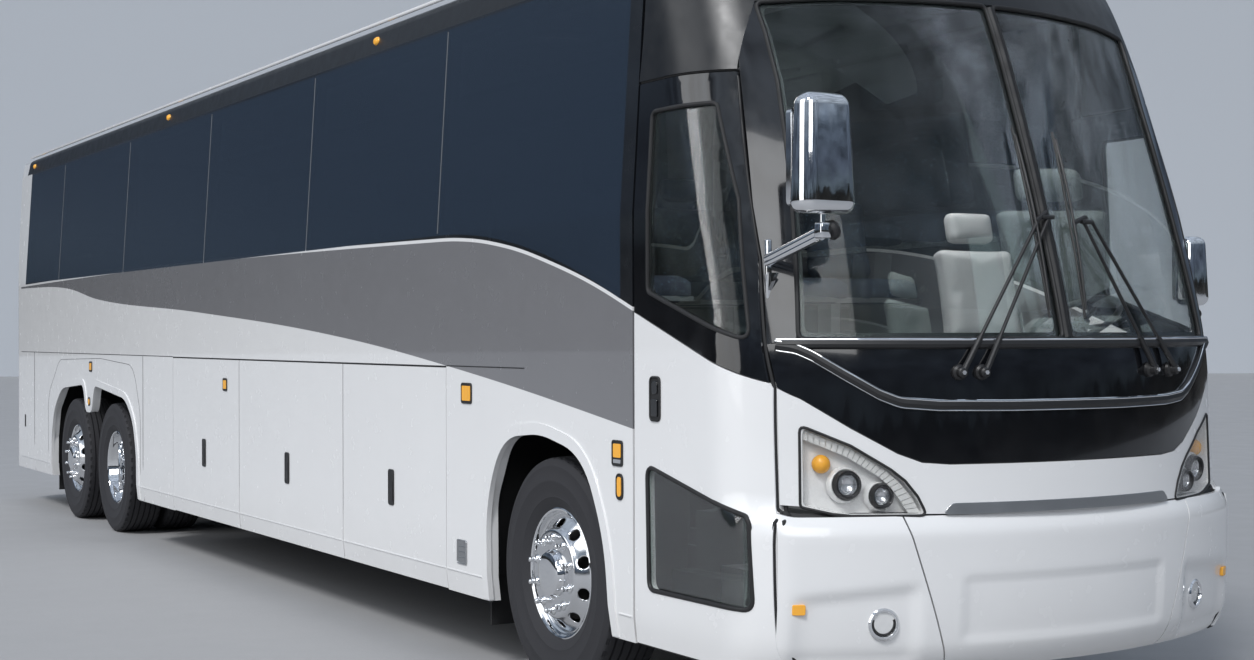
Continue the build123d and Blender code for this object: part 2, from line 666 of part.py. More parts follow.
step_high_x = front_axle_x + 1550.0
step_low_z = 360.0
step_outer_y = 105.0 - inner_half
door_sweep_y = step_outer_y + 105.0
door_sweep_x = step_high_x - 75.0
step_points = (
    (step_outer_y, 400.0), (-860.0, 400.0), (-860.0, 640.0), (-590.0, 640.0), (-590.0, 885.0), (-300.0, 885.0),
    (-300.0, driver_floor_z), (inner_half - 5.0, driver_floor_z), (inner_half - 5.0, driver_floor_z - 40.0),
    (-260.0, driver_floor_z - 40.0), (-260.0, 845.0), (-550.0, 845.0), (-550.0, 600.0), (-820.0, 600.0),
    (-820.0, step_low_z), (step_outer_y, step_low_z),
)
platform_low_x = deck_high_x
with BuildPart() as front_floor:
    with BuildSketch(Plane.YZ.offset(platform_low_x + 90.0)):
        with BuildLine():
            Polyline(*step_points, close=True)
        make_face()
    extrude(amount=step_high_x - platform_low_x - 90.0)
    add(block(platform_low_x, platform_low_x + 330.0, -300.0, 300.0, driver_floor_z, driver_floor_z + 175.0))
    add(block(platform_low_x, platform_low_x + 95.0, -260.0, inner_half - 5.0, driver_floor_z - 40.0,
              driver_floor_z))
    add(upper_inner + lower_inner, mode=Mode.INTERSECT)
    add(block(door_sweep_x, step_high_x, step_outer_y, door_sweep_y, step_low_z, 400.0), mode=Mode.SUBTRACT)
    add(block(step_high_x - 40.0, step_high_x, door_sweep_y, -900.0, hinge_bracket_top_z, step_low_z))
    add(block(step_high_x - 40.0, door_axis_x + hinge_lug_radius, door_axis_y - hinge_lug_radius, -900.0,
              hinge_shaft_low_z, hinge_bracket_top_z))
    with BuildSketch(Plane.XY.offset(hinge_shaft_low_z)):
        with Locations((door_axis_x, door_axis_y)):
            Circle(hinge_pin_radius)
    extrude(amount=hinge_shaft_high_z - hinge_shaft_low_z)
save(front_floor, "front_floor")

# Wheel housings, open outward and downward
housing_wall = 20.0
housing_top_z = 1275.0
housing_inner_y = tyre_y - twin_spacing - tyre_width / 2 - 53.0
housing_reach = 700.0
housing_low_z = 450.0
axle_cutouts = ((front_axle_x, 180.0), (drive_axle_x, 110.0), (tag_axle_x, 110.0))
axle_cutout_top_z = 700.0
housings = (
    (front_axle_x - housing_reach, front_axle_x + housing_reach),
    (tag_axle_x - housing_reach, drive_axle_x + housing_reach),
)
with BuildPart() as wheel_housings:
    for low_x, high_x in housings:
        for side in (-1, 1):
            outer = sorted((side * (housing_inner_y - housing_wall), side * inner_half))
            inner = sorted((side * housing_inner_y, side * (inner_half + 1.0)))
            add(block(low_x - housing_wall, high_x + housing_wall, outer[0], outer[1], housing_low_z,
                      housing_top_z))
            add(block(low_x, high_x, inner[0], inner[1], housing_low_z - 1.0, housing_top_z - housing_wall),
                mode=Mode.SUBTRACT)
    for place, reach in axle_cutouts:
        add(block(place - reach, place + reach, -housing_inner_y, housing_inner_y, housing_low_z,
                  axle_cutout_top_z), mode=Mode.SUBTRACT)
save(wheel_housings, "wheel_housings")

# Subframes and engine, whose places behind the tag axle are shares of the run to the tail
rail_y = 430.0
rail_half = 40.0


def tail_x(share):
    """Station behind the tag axle, 0 at the tail and 1 at the axle."""
    return -half_length + share * (tag_axle_x + half_length)


tow_pin_radius = 20.0
crossbar = 80.0
tow_crossbar_x = (front_axle_x + 1860.0, tail_x(0.1176))
with BuildPart() as chassis_frame:
    for low_x, high_x, low_z, high_z in (
        (bay_high_x + bulkhead / 2, half_length - 140.0, 560.0, 720.0),
        (tail_x(0.0924), bay_low_x - bulkhead / 2, 700.0, 860.0),
    ):
        for side in (-1, 1):
            add(block(low_x, high_x, side * rail_y - rail_half, side * rail_y + rail_half, low_z, high_z))
    for place in (front_axle_x - 820.0, front_axle_x + 800.0, tow_crossbar_x[0]):
        add(block(place, place + crossbar, -rail_y, rail_y, 580.0, 700.0))
    for place in (tow_crossbar_x[1], tail_x(0.8487), drive_axle_x - 720.0, drive_axle_x + 680.0):
        add(block(place, place + crossbar, -rail_y, rail_y, 740.0, 840.0))
    with Locations([(place + crossbar / 2, 0.0, axle_z) for place in tow_crossbar_x]):
        Cylinder(tow_pin_radius, roof_top_z - axle_z, align=(Align.CENTER, Align.CENTER, Align.MIN),
                 mode=Mode.SUBTRACT)
    for side in (-1, 1):
        for place in (front_axle_x - 720.0, front_axle_x + 580.0):
            add(block(place, place + 70.0, side * rail_y - 35.0, side * rail_y + 35.0, 720.0,
                      cabin_floor_z - cabin_floor))
        for place in (tail_x(0.1765), tail_x(0.8067), drive_axle_x - 680.0, drive_axle_x + 680.0):
            add(block(place, place + 70.0, side * rail_y - 35.0, side * rail_y + 35.0, 860.0,
                      cabin_floor_z - cabin_floor))
save(chassis_frame, "chassis_frame")

with BuildPart() as engine_block:
    add(block(tail_x(0.2269), tail_x(0.7815), -370.0, 370.0, 480.0, 1340.0))
save(engine_block, "engine_block")

# Axles and steering knuckles
axle_boss_radius = 52.0
axle_boss_half = 45.0
kingpin_radius = 24.0
running_clearance = 0.05
spindle_radius = 45.0
spindle_end_y = tyre_y + 71.0
beam_half = kingpin_y - 140.0
with BuildPart() as front_axle:
    add(block(front_axle_x - 45.0, front_axle_x + 45.0, -beam_half, beam_half, 390.0, 490.0))
    for side in (-1, 1):
        add(block(front_axle_x - 45.0, front_axle_x + 45.0,
                  *sorted((side * (beam_half - 40.0), side * kingpin_y)),
                  axle_z - 40.0, axle_z + 40.0))
        add(block(front_axle_x - 45.0, front_axle_x + 45.0,
                  *sorted((side * (beam_half - 40.0), side * beam_half)),
                  390.0, axle_z + 40.0))
        with BuildSketch(Plane.XY.offset(axle_z - axle_boss_half)):
            with Locations((front_axle_x, side * kingpin_y)):
                Circle(axle_boss_radius)
        extrude(amount=2 * axle_boss_half)
        with BuildSketch(Plane.XY.offset(axle_z - axle_boss_half)):
            with Locations((front_axle_x, side * kingpin_y)):
                Circle(kingpin_radius + running_clearance)
        extrude(amount=2 * axle_boss_half, mode=Mode.SUBTRACT)
        for place in (-110.0, 110.0):
            add(block(front_axle_x + place - 35.0, front_axle_x + place + 35.0, side * rail_y - 30.0,
                      side * rail_y + 30.0, 440.0, 560.0))
    add(block(front_axle_x - 150.0, front_axle_x + 150.0, -rail_y - 30.0, rail_y + 30.0, 420.0, 470.0))
save(front_axle, "front_axle")

ear_gap = 3.0
ear = 28.0
for side, name in ((-1, "knuckle_right"), (1, "knuckle_left")):
    with BuildPart() as knuckle:
        with BuildSketch(Plane.XY.offset(axle_z - axle_boss_half - ear_gap - ear)):
            with Locations((front_axle_x, side * kingpin_y)):
                Circle(kingpin_radius)
        extrude(amount=2 * (axle_boss_half + ear_gap + ear))
        for low_z in (axle_z - axle_boss_half - ear_gap - ear, axle_z + axle_boss_half + ear_gap):
            with BuildSketch(Plane.XY.offset(low_z)):
                with Locations((front_axle_x, side * kingpin_y)):
                    Circle(axle_boss_radius)
            extrude(amount=ear)
            add(block(front_axle_x - 50.0, front_axle_x + 50.0,
                      *sorted((side * kingpin_y, side * (kingpin_y + 90.0))), low_z, low_z + ear))
        with BuildSketch(Plane.XZ.offset(-side * (kingpin_y + 62.0))):
            with Locations((front_axle_x, axle_z)):
                Circle(150.0)
        extrude(amount=-side * 28.0)
        with BuildSketch(Plane.XZ.offset(-side * (kingpin_y + 62.0))):
            with Locations((front_axle_x, axle_z)):
                Circle(spindle_radius)
        extrude(amount=-side * (spindle_end_y - kingpin_y - 62.0))
    save(knuckle, name)

with BuildPart() as rear_axles:
    with BuildSketch(Plane.XZ.offset(44.0 - tyre_y)):
        with Locations((drive_axle_x, axle_z)):
            Circle(spindle_radius)
    extrude(amount=2 * (tyre_y - 44.0))
    with BuildSketch(Plane.XZ.offset(504.0 - tyre_y)):
        with Locations((drive_axle_x, axle_z)):
            Circle(75.0)
    extrude(amount=2 * (tyre_y - 504.0))
    with Locations((drive_axle_x, 0.0, axle_z)):
        Sphere(200.0)
    for side in (-1, 1):
        add(block(drive_axle_x - 60.0, drive_axle_x + 60.0, side * rail_y - 35.0, side * rail_y + 35.0,
                  axle_z, 700.0))
    with BuildSketch(Plane.XZ.offset(-spindle_end_y)):
        with Locations((tag_axle_x, axle_z)):
            Circle(spindle_radius)
    extrude(amount=2 * spindle_end_y)
    with BuildSketch(Plane.XZ.offset(-kingpin_y)):
        with Locations((tag_axle_x, axle_z)):
            Circle(60.0)
    extrude(amount=2 * kingpin_y)
    for side in (-1, 1):
        add(block(tag_axle_x - 60.0, tag_axle_x + 60.0, side * rail_y - 35.0, side * rail_y + 35.0, axle_z,
                  700.0))
save(rear_axles, "rear_axles")

# Wheels, revolved about their own axle lines
def axle_plane(x, y):
    """Plane with local x up the wheel's radius and local y outward from the coach."""
    side = 1 if y > 0 else -1
    return Plane(origin=(x, y, axle_z), x_dir=(0, 0, 1), z_dir=(-side, 0, 0))


half_tread = tyre_width / 2
tyre_profile = (
    (rim_radius, 56.0 - half_tread), (bead_top_radius, 52.0 - half_tread), (415.0, -half_tread),
    (510.0, 12.0 - half_tread), (tyre_radius, 34.0 - half_tread), (tyre_radius, half_tread - 34.0),
    (510.0, half_tread - 12.0), (415.0, half_tread), (bead_top_radius, half_tread - 52.0),
    (rim_radius, half_tread - 56.0),
)


def make_tyre(x, centres, name):
    """Tyres of one hub, closed rings on their beads."""
    with BuildPart() as tyre:
        for y in centres:
            with BuildSketch(axle_plane(x, y)):
                with BuildLine():
                    Polyline(*tyre_profile, close=True)
                make_face()
            revolve(axis=Axis((x, 0, axle_z), (0, 1, 0)))
    save(tyre, name)


lug_count = 10
lug_ring_radius = 167.5
lug_radius = 15.0
lug_height = 50.0
hand_hole_radius = 28.0


def make_rim(x, y, outline, name, hub_face, hole_ring, second=None):
    """Rim and disc as one revolved ring, with its hub cover, wheel nuts and hand holes."""
    outward = Plane(origin=(x, y, axle_z), x_dir=(1, 0, 0), z_dir=(0, 1 if y > 0 else -1, 0))
    with BuildPart() as rim:
        for place, points in ((y, outline),) + ((second,) if second else ()):
            with BuildSketch(axle_plane(x, place)):
                with BuildLine():
                    Polyline(*points, close=True)
                make_face()
            revolve(axis=Axis((x, 0, axle_z), (0, 1, 0)))
        with BuildSketch(outward.offset(hub_face - 2.0)):
            with PolarLocations(lug_ring_radius, lug_count):
                Circle(lug_radius)
        extrude(amount=lug_height + 2.0)
        with BuildSketch(outward.offset(hub_face - 120.0)):
            with PolarLocations(hole_ring, lug_count, start_angle=180.0 / lug_count):
                Circle(hand_hole_radius)
        extrude(amount=122.0, mode=Mode.SUBTRACT)
    save(rim, name)


spindle_bore = spindle_radius + running_clearance
convex_face = 150.0
dished_face = -150.0
convex_rim = (
    (spindle_bore, -20.0), (112.0, -20.0), (112.0, 125.0), (192.0, 125.0), (244.0, 75.0), (262.0, 20.0),
    (262.0, -122.0), (rim_flange_radius, -122.0), (rim_flange_radius, -112.0), (rim_radius, -106.0),
    (rim_radius, 106.0), (rim_flange_radius, 112.0), (rim_flange_radius, 122.0), (278.0, 122.0),
    (262.0, 92.0), (206.0, convex_face), (112.0, convex_face), (105.0, 186.0), (80.0, 198.0), (0.0, 198.0),
    (0.0, 75.0), (spindle_bore, 75.0),
)
dished_rim = (
    (spindle_bore, -172.0), (240.0, -172.0), (258.0, -120.0), (rim_flange_radius, -122.0),
    (rim_flange_radius, -112.0), (rim_radius, -106.0), (rim_radius, 106.0), (rim_flange_radius, 112.0),
    (rim_flange_radius, 122.0), (279.0, 122.0), (258.0, 100.0), (258.0, -100.0),
    (232.0, dished_face), (118.0, dished_face), (112.0, 30.0), (90.0, 52.0), (0.0, 52.0), (0.0, -30.0),
    (spindle_bore, -30.0),
)
inner_rim = (
    (spindle_bore, 173.0), (240.0, 173.0), (258.0, 120.0), (rim_flange_radius, 122.0),
    (rim_flange_radius, 112.0), (rim_radius, 106.0), (rim_radius, -106.0), (rim_flange_radius, -112.0),
    (rim_flange_radius, -122.0), (279.0, -122.0), (258.0, -100.0), (258.0, 100.0), (232.0, 150.0),
    (spindle_bore, 150.0),
)
for side, side_name in ((-1, "right"), (1, "left")):
    make_tyre(front_axle_x, (side * tyre_y,), "tyre_front_" + side_name)
    make_tyre(drive_axle_x, (side * tyre_y, side * (tyre_y - twin_spacing)), "tyres_drive_" + side_name)
    make_tyre(tag_axle_x, (side * tyre_y,), "tyre_tag_" + side_name)
    make_rim(front_axle_x, side * tyre_y, convex_rim, "rim_front_" + side_name, convex_face, 232.0)
    make_rim(tag_axle_x, side * tyre_y, convex_rim, "rim_tag_" + side_name, convex_face, 232.0)
    make_rim(drive_axle_x, side * tyre_y, dished_rim, "rims_drive_" + side_name, dished_face, 212.0,
             (side * (tyre_y - twin_spacing), inner_rim))

# Seats
seat_pitch = 830.0
first_row_x = front_axle_x - 520.0
row_count = int((first_row_x - rear_cap_x - 800.0) / seat_pitch) + 1
aisle_half = 240.0
seat_outer_y = inner_half - 40.0
passenger_seat = (
    (230.0, 320.0), (230.0, 450.0), (-190.0, 450.0), (-330.0, 1140.0), (-430.0, 1120.0), (-290.0, 320.0),
    (-120.0, 320.0), (-120.0, 0.0), (40.0, 0.0), (40.0, 320.0),
)
with BuildPart() as passenger_seats:
    for row in range(row_count):
        row_x = first_row_x - row * seat_pitch
        outline = [(row_x + x, cabin_floor_z + z) for x, z in passenger_seat]
        for y_low, y_high in ((-seat_outer_y, -aisle_half), (aisle_half, seat_outer_y)):
            add(side_panel(outline, y_low, y_high))
save(passenger_seats, "passenger_seats")

driver_seat_x = front_axle_x + 1045.0
driver_seat_y = 640.0
with BuildPart() as driver_seat:
    outline = [(driver_seat_x + x, driver_floor_z + z * 0.98) for x, z in passenger_seat]
    add(side_panel(outline, driver_seat_y - 260.0, driver_seat_y + 260.0))
save(driver_seat, "driver_seat")

# Dashboard and steering wheel
dash_outline = ahead((
    (1620.0, 1130.0), (1800.0, 1130.0), (1820.0, 1560.0), (1660.0, 1600.0), (1510.0, 1560.0), (1510.0, 1440.0),
))
with BuildPart() as dashboard:
    add(side_panel(dash_outline, -700.0, 1100.0) & upper_inner)
save(dashboard, "dashboard")

with BuildPart() as steering_wheel:
    column = Plane(origin=(front_axle_x + 1410.0, driver_seat_y, 1720.0), x_dir=(0, 1, 0), z_dir=(-0.5, 0, 0.866))
    with BuildSketch(column):
        Circle(225.0)
        Circle(190.0, mode=Mode.SUBTRACT)
        Rectangle(400.0, 40.0)
        Circle(60.0)
    extrude(amount=25.0)
    with BuildSketch(column):
        Circle(35.0)
    extrude(amount=-240.0)
    add(dashboard.part, mode=Mode.SUBTRACT)
save(steering_wheel, "steering_wheel")

# Lamps outside the headlamps
marker_places = (
    (drive_axle_x - 540.0, 1370.0, 90.0, 45.0), (bay_edges[1] - 300.0, 1300.0, 90.0, 60.0),
    (front_axle_x - 840.0, 1350.0, 110.0, 75.0), (front_axle_x + 690.0, 1140.0, 90.0, 60.0),
    (drive_axle_x + tab_x, 1060.0, 60.0, 60.0), (front_axle_x + 700.0, 1000.0, 50.0, 70.0),
)
lamp_stand = 8.0
with BuildPart() as marker_lamps:
    for x, z, long_side, high_side in marker_places:
        for side in (-1, 1):
            y_faces = sorted((side * half_width, side * (half_width + lamp_stand)))
            add(block(x - long_side / 2, x + long_side / 2, y_faces[0], y_faces[1], z - high_side / 2,
                      z + high_side / 2))
save(marker_lamps, "marker_lamps")

tail_lamp_y = half_width - 255.0
with BuildPart() as tail_lamps:
    for side in (-1, 1):
        for low_z in (900.0, 1080.0, 1260.0):
            add(block(-half_length - 40.0, 70.0 - half_length, side * tail_lamp_y - 60.0,
                      side * tail_lamp_y + 60.0, low_z, low_z + 120.0))
    add(body_outer, mode=Mode.SUBTRACT)
save(tail_lamps, "tail_lamps")

# Mudflaps
with BuildPart() as mudflaps:
    for place in (front_axle_x - 740.0, tag_axle_x - 740.0):
        for side in (-1, 1):
            y_faces = sorted((side * (inner_half - 305.0), side * (inner_half - 20.0)))
            add(block(place, place + 12.0, y_faces[0], y_faces[1], 200.0, 520.0))
save(mudflaps, "mudflaps")

# Mirrors on arms from the front pillars, heads rounded
head_corner = 28.0
with BuildPart() as mirror_heads:
    add(block(half_length - 205.0, half_length - 60.0, 30.0 - half_width, 280.0 - half_width, 2083.0, 2535.0))
    add(block(front_axle_x + 1375.0, front_axle_x + 1500.0, half_width, half_width + 130.0, 1765.0, 2085.0))
    fillet(mirror_heads.edges(), head_corner)
with BuildPart() as mirrors:
    add(mirror_heads.part)
    add(block(half_length - 150.0, half_length - 110.0, 130.0 - half_width, 180.0 - half_width, 1960.0,
              2100.0))
    add(block(front_axle_x + 1620.0, half_length - 110.0, 138.0 - half_width, 172.0 - half_width, 1960.0,
              2000.0))
    add(block(front_axle_x + 1580.0, front_axle_x + 1630.0, 135.0 - half_width, 185.0 - half_width, 1775.0,
              2030.0))
    add(block(front_axle_x + 1410.0, front_axle_x + 1460.0, half_width - 135.0, half_width + 20.0, 1900.0,
              1940.0))
    add(upper_outer, mode=Mode.SUBTRACT)
save(mirrors, "mirrors")

# Wipers: twin arms and a blade on each side, in layers that follow the screen
wiper_sets = (
    (((-512.0, 1489.0), (-420.0, 1489.0)), (-17.0, 2126.0), (-69.0, 2478.0), (-83.0, 1700.0)),
    (((484.0, 1489.0), (648.0, 1487.0)), (194.0, 2113.0), (148.0, 2470.0), (104.0, 1702.0)),
)
arm_strip = 9.0
blade_strip = 7.0
boss_half = 26.0
arm_layer = front_loft(upper_front, -38.0) - front_loft(upper_front, -24.0)
blade_layer = front_loft(upper_front, -38.0) - front_loft(upper_front, -10.0)
boss_layer = front_loft(upper_front, -40.0) - front_loft(upper_front, 0.0)


def strip(start, end, half):
    """Front-view outline of a straight bar between two points, half its width to either side."""
    (y_a, z_a), (y_b, z_b) = start, end
    length = sqrt((y_b - y_a) ** 2 + (z_b - z_a) ** 2)
    side_step, rise_step = half * (z_b - z_a) / length, half * (y_b - y_a) / length
    return across((
        (y_a - side_step, z_a + rise_step), (y_b - side_step, z_b + rise_step),
        (y_b + side_step, z_b - rise_step), (y_a + side_step, z_a - rise_step),
    ))


with BuildPart() as wipers:
    for pivots, arm_end, blade_top, blade_foot in wiper_sets:
        for pivot in pivots:
            add(front_panel(strip(pivot, arm_end, arm_strip), mask_x, half_length + 50.0) & arm_layer)
            boss = strip((pivot[0], pivot[1] - boss_half), (pivot[0], pivot[1] + boss_half), boss_half)
            add(front_panel(boss, mask_x, half_length + 50.0) & boss_layer)
        add(front_panel(strip(blade_top, blade_foot, blade_strip), mask_x, half_length + 50.0) & blade_layer)
        bridge = strip(arm_end, (blade_top[0], arm_end[1]), arm_strip)
        add(front_panel(bridge, mask_x, half_length + 50.0) & arm_layer)
save(wipers, "wipers")
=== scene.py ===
"""Coach bus: the finished looks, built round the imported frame."""

import json
import logging
import math
from dataclasses import dataclass
from enum import Enum
from typing import Callable, Optional, Sequence

import bmesh
import bpy
from mathutils import Matrix, Vector

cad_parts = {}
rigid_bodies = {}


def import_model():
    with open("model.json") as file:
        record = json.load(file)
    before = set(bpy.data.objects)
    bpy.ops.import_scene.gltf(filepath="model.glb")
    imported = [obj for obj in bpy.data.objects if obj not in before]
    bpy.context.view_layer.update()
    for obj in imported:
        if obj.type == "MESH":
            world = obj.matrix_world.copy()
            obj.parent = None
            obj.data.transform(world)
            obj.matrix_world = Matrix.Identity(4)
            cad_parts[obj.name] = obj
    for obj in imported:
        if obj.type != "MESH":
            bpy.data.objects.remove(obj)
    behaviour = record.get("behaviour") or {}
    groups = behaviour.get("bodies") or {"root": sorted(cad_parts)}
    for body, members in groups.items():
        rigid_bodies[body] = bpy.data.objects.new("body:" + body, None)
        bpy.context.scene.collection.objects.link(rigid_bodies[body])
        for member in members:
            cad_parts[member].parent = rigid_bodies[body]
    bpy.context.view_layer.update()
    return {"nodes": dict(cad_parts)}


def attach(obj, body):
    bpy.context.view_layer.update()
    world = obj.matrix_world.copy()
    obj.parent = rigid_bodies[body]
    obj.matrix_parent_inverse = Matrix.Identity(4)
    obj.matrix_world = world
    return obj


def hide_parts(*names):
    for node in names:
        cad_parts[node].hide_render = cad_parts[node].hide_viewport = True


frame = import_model()

logging.basicConfig(level=logging.INFO, format="%(message)s")
log = logging.getLogger("coach")

Point = tuple[float, float]
Colour = tuple[float, float, float]
Outline = list[Point]
Mesh = bmesh.types.BMesh

COACH = "coach_body"
BLACK: Colour = (0.006, 0.007, 0.009)
PAINT_EDGE = 900.0
COAT_ROUGHNESS = 0.03
NEARLY_STRAIGHT = math.radians(176)
CORNER_SHARE = 0.48
HOLE_STEP = 0.08
WELD = 1e-6
BEVEL_ANGLE = math.radians(40)


# Finishes


class Graph:
    """Node tree of one finish, with short ways to add and join nodes."""

    def __init__(self, name: str) -> None:
        """Start a material.

        Args:
            name: The material's name.
        """
        self.material = bpy.data.materials.new(name)
        self.material.use_nodes = True
        self.tree = self.material.node_tree
        self.shader = self.tree.nodes["Principled BSDF"]
        self.place = self.add("ShaderNodeTexCoord").outputs["Object"]

    def add(self, kind: str, **settings: object) -> bpy.types.Node:
        """Add a node and set its properties.

        Args:
            kind: Blender's name of the node type.
            **settings: Properties of the node.

        Returns:
            The new node.
        """
        node = self.tree.nodes.new(kind)
        for key, value in settings.items():
            setattr(node, key, value)
        return node

    def join(self, source: object, target: bpy.types.NodeSocket) -> None:
        """Link an output to a socket, or set the socket to a plain number or colour.

        Args:
            source: An output socket, a number or a colour.
            target: The socket that takes it.
        """
        if isinstance(source, bpy.types.NodeSocket):
            self.tree.links.new(source, target)
        elif isinstance(source, (tuple, list)) and len(source) == 3:
            target.default_value = (*source, 1.0) if target.type == "RGBA" else source
        else:
            target.default_value = source

    def sum(self, operation: str, first: object, second: object = 0.0, third: object = 0.0,
            clamp: bool = False) -> object:
        """One step of arithmetic.

        Args:
            operation: Name of the Math node's operation.
            first: First value.
            second: Second value.
            third: Third value, for an operation that takes three.
            clamp: Keep the result between 0 and 1.

        Returns:
            The result's output socket.
        """
        node = self.add("ShaderNodeMath", operation=operation, use_clamp=clamp)
        for value, socket in zip((first, second, third), node.inputs):
            self.join(value, socket)
        return node.outputs[0]

    def step(self, value: object) -> object:
        """Soft step from 0 to 1 where a value passes zero."""
        return self.sum("ADD", self.sum("MULTIPLY", value, PAINT_EDGE), 0.5, clamp=True)

    def noise(self, scale: float, detail: float = 3.0, stretch: Optional[tuple] = None) -> object:
        """Soft noise over the object's own coordinates.

        Args:
            scale: Cells to the metre.
            detail: Octaves.
            stretch: Scale along each axis.

        Returns:
            The noise factor's output socket.
        """
        node = self.add("ShaderNodeTexNoise")
        node.inputs["Scale"].default_value = scale
        node.inputs["Detail"].default_value = detail
        if stretch:
            mapping = self.add("ShaderNodeMapping")
            mapping.inputs["Scale"].default_value = stretch
            self.join(self.place, mapping.inputs["Vector"])
            self.join(mapping.outputs[0], node.inputs["Vector"])
        else:
            self.join(self.place, node.inputs["Vector"])
        return node.outputs["Fac"]

    def blend(self, factor: object, first: object, second: object) -> object:
        """Mix two colours.

        Args:
            factor: 0 gives the first and 1 the second.
            first: A colour or an output.
            second: A colour or an output.

        Returns:
            The colour's output socket.
        """
        node = self.add("ShaderNodeMix", data_type="RGBA")
        self.join(factor, node.inputs[0])
        self.join(first, node.inputs[6])
        self.join(second, node.inputs[7])
        return node.outputs[2]

    def spread(self, factor: object, low: float, high: float) -> object:
        """Map a noise factor to a range.

        Args:
            factor: Output between about 0.3 and 0.7.
            low: Value at the noise's low end.
            high: Value at its high end.

        Returns:
            The mapped output socket.
        """
        node = self.add("ShaderNodeMapRange")
        self.join(factor, node.inputs["Value"])
        for key, value in (("From Min", 0.3), ("From Max", 0.7), ("To Min", low), ("To Max", high)):
            node.inputs[key].default_value = value
        return node.outputs[0]

    def axis(self, index: int) -> object:
        """Output of one coordinate.

        Args:
            index: 0 for x, 1 for y and 2 for z.

        Returns:
            The coordinate's output socket.
        """
        node = self.add("ShaderNodeSeparateXYZ")
        self.join(self.place, node.inputs[0])
        return node.outputs[index]

    def bump(self, height: object, depth: float) -> None:
        """Let a height field raise the surface.

        Args:
            height: Output between 0 and 1.
            depth: Metres between its low and high.
        """
        node = self.add("ShaderNodeBump")
        node.inputs["Distance"].default_value = depth
        self.join(height, node.inputs["Height"])
        self.join(node.outputs[0], self.shader.inputs["Normal"])


@dataclass(frozen=True)
class Finish:
    """A surface finish: two close colours in soft patches, with fine grain."""

    name: str
    colour: Colour
    shade: Colour
    roughness: float = 0.4
    spread: float = 0.08
    metallic: float = 0.0
    coat: float = 0.0
    transmission: float = 0.0
    alpha: float = 1.0
    glow: float = 0.0
    patch: float = 3.0
    grain: float = 300.0
    depth: float = 0.0001
    stretch: Optional[tuple] = None
    slot: str = "body_white"

    def colour_of(self, graph: Graph) -> object:
        """Output of the base colour."""
        return graph.blend(graph.noise(self.patch, stretch=self.stretch), self.colour, self.shade)

    def make(self) -> bpy.types.Material:
        """Build the material, or find it if it is there.

        Returns:
            The material.
        """
        known = bpy.data.materials.get(self.name)
        if known:
            return known
        graph = Graph(self.name)
        sockets = graph.shader.inputs
        graph.join(self.colour_of(graph), sockets["Base Color"])
        rough = graph.noise(self.patch * 4.0, stretch=self.stretch)
        low = max(0.0, self.roughness - self.spread)
        graph.join(graph.spread(rough, low, self.roughness + self.spread), sockets["Roughness"])
        values = {"Metallic": self.metallic, "Coat Weight": self.coat, "Coat Roughness": COAT_ROUGHNESS,
                  "Transmission Weight": self.transmission, "Alpha": self.alpha}
        for key, value in values.items():
            sockets[key].default_value = value
        if self.glow:
            sockets["Emission Color"].default_value = (*self.colour, 1.0)
            sockets["Emission Strength"].default_value = self.glow
        if self.depth:
            graph.bump(graph.noise(self.grain, 2.0, self.stretch), self.depth)
        return graph.material


@dataclass(frozen=True)
class RoadPaint(Finish):
    """White coach paint that turns a warm grey low down, in soft patches."""

    # Warm grey mixed into the white towards the bottom, in soft noise patches, fading out upwards.
    skirt_grey: Colour = (0.56, 0.545, 0.52)
    skirt_fade: float = 1.5
    skirt_patch: float = 1.7

    def colour_of(self, graph: Graph) -> object:
        """White, greyed towards the skirt.

        Args:
            graph: The node tree being made.

        Returns:
            An output socket.
        """
        clean = super().colour_of(graph)
        low = graph.sum("SUBTRACT", 1.0, graph.sum("MULTIPLY", graph.axis(2), self.skirt_fade), clamp=True)
        patches = graph.spread(graph.noise(self.skirt_patch, 6.0), 0.1, 0.5)
        return graph.blend(graph.sum("MULTIPLY", low, patches, clamp=True), clean, self.skirt_grey)


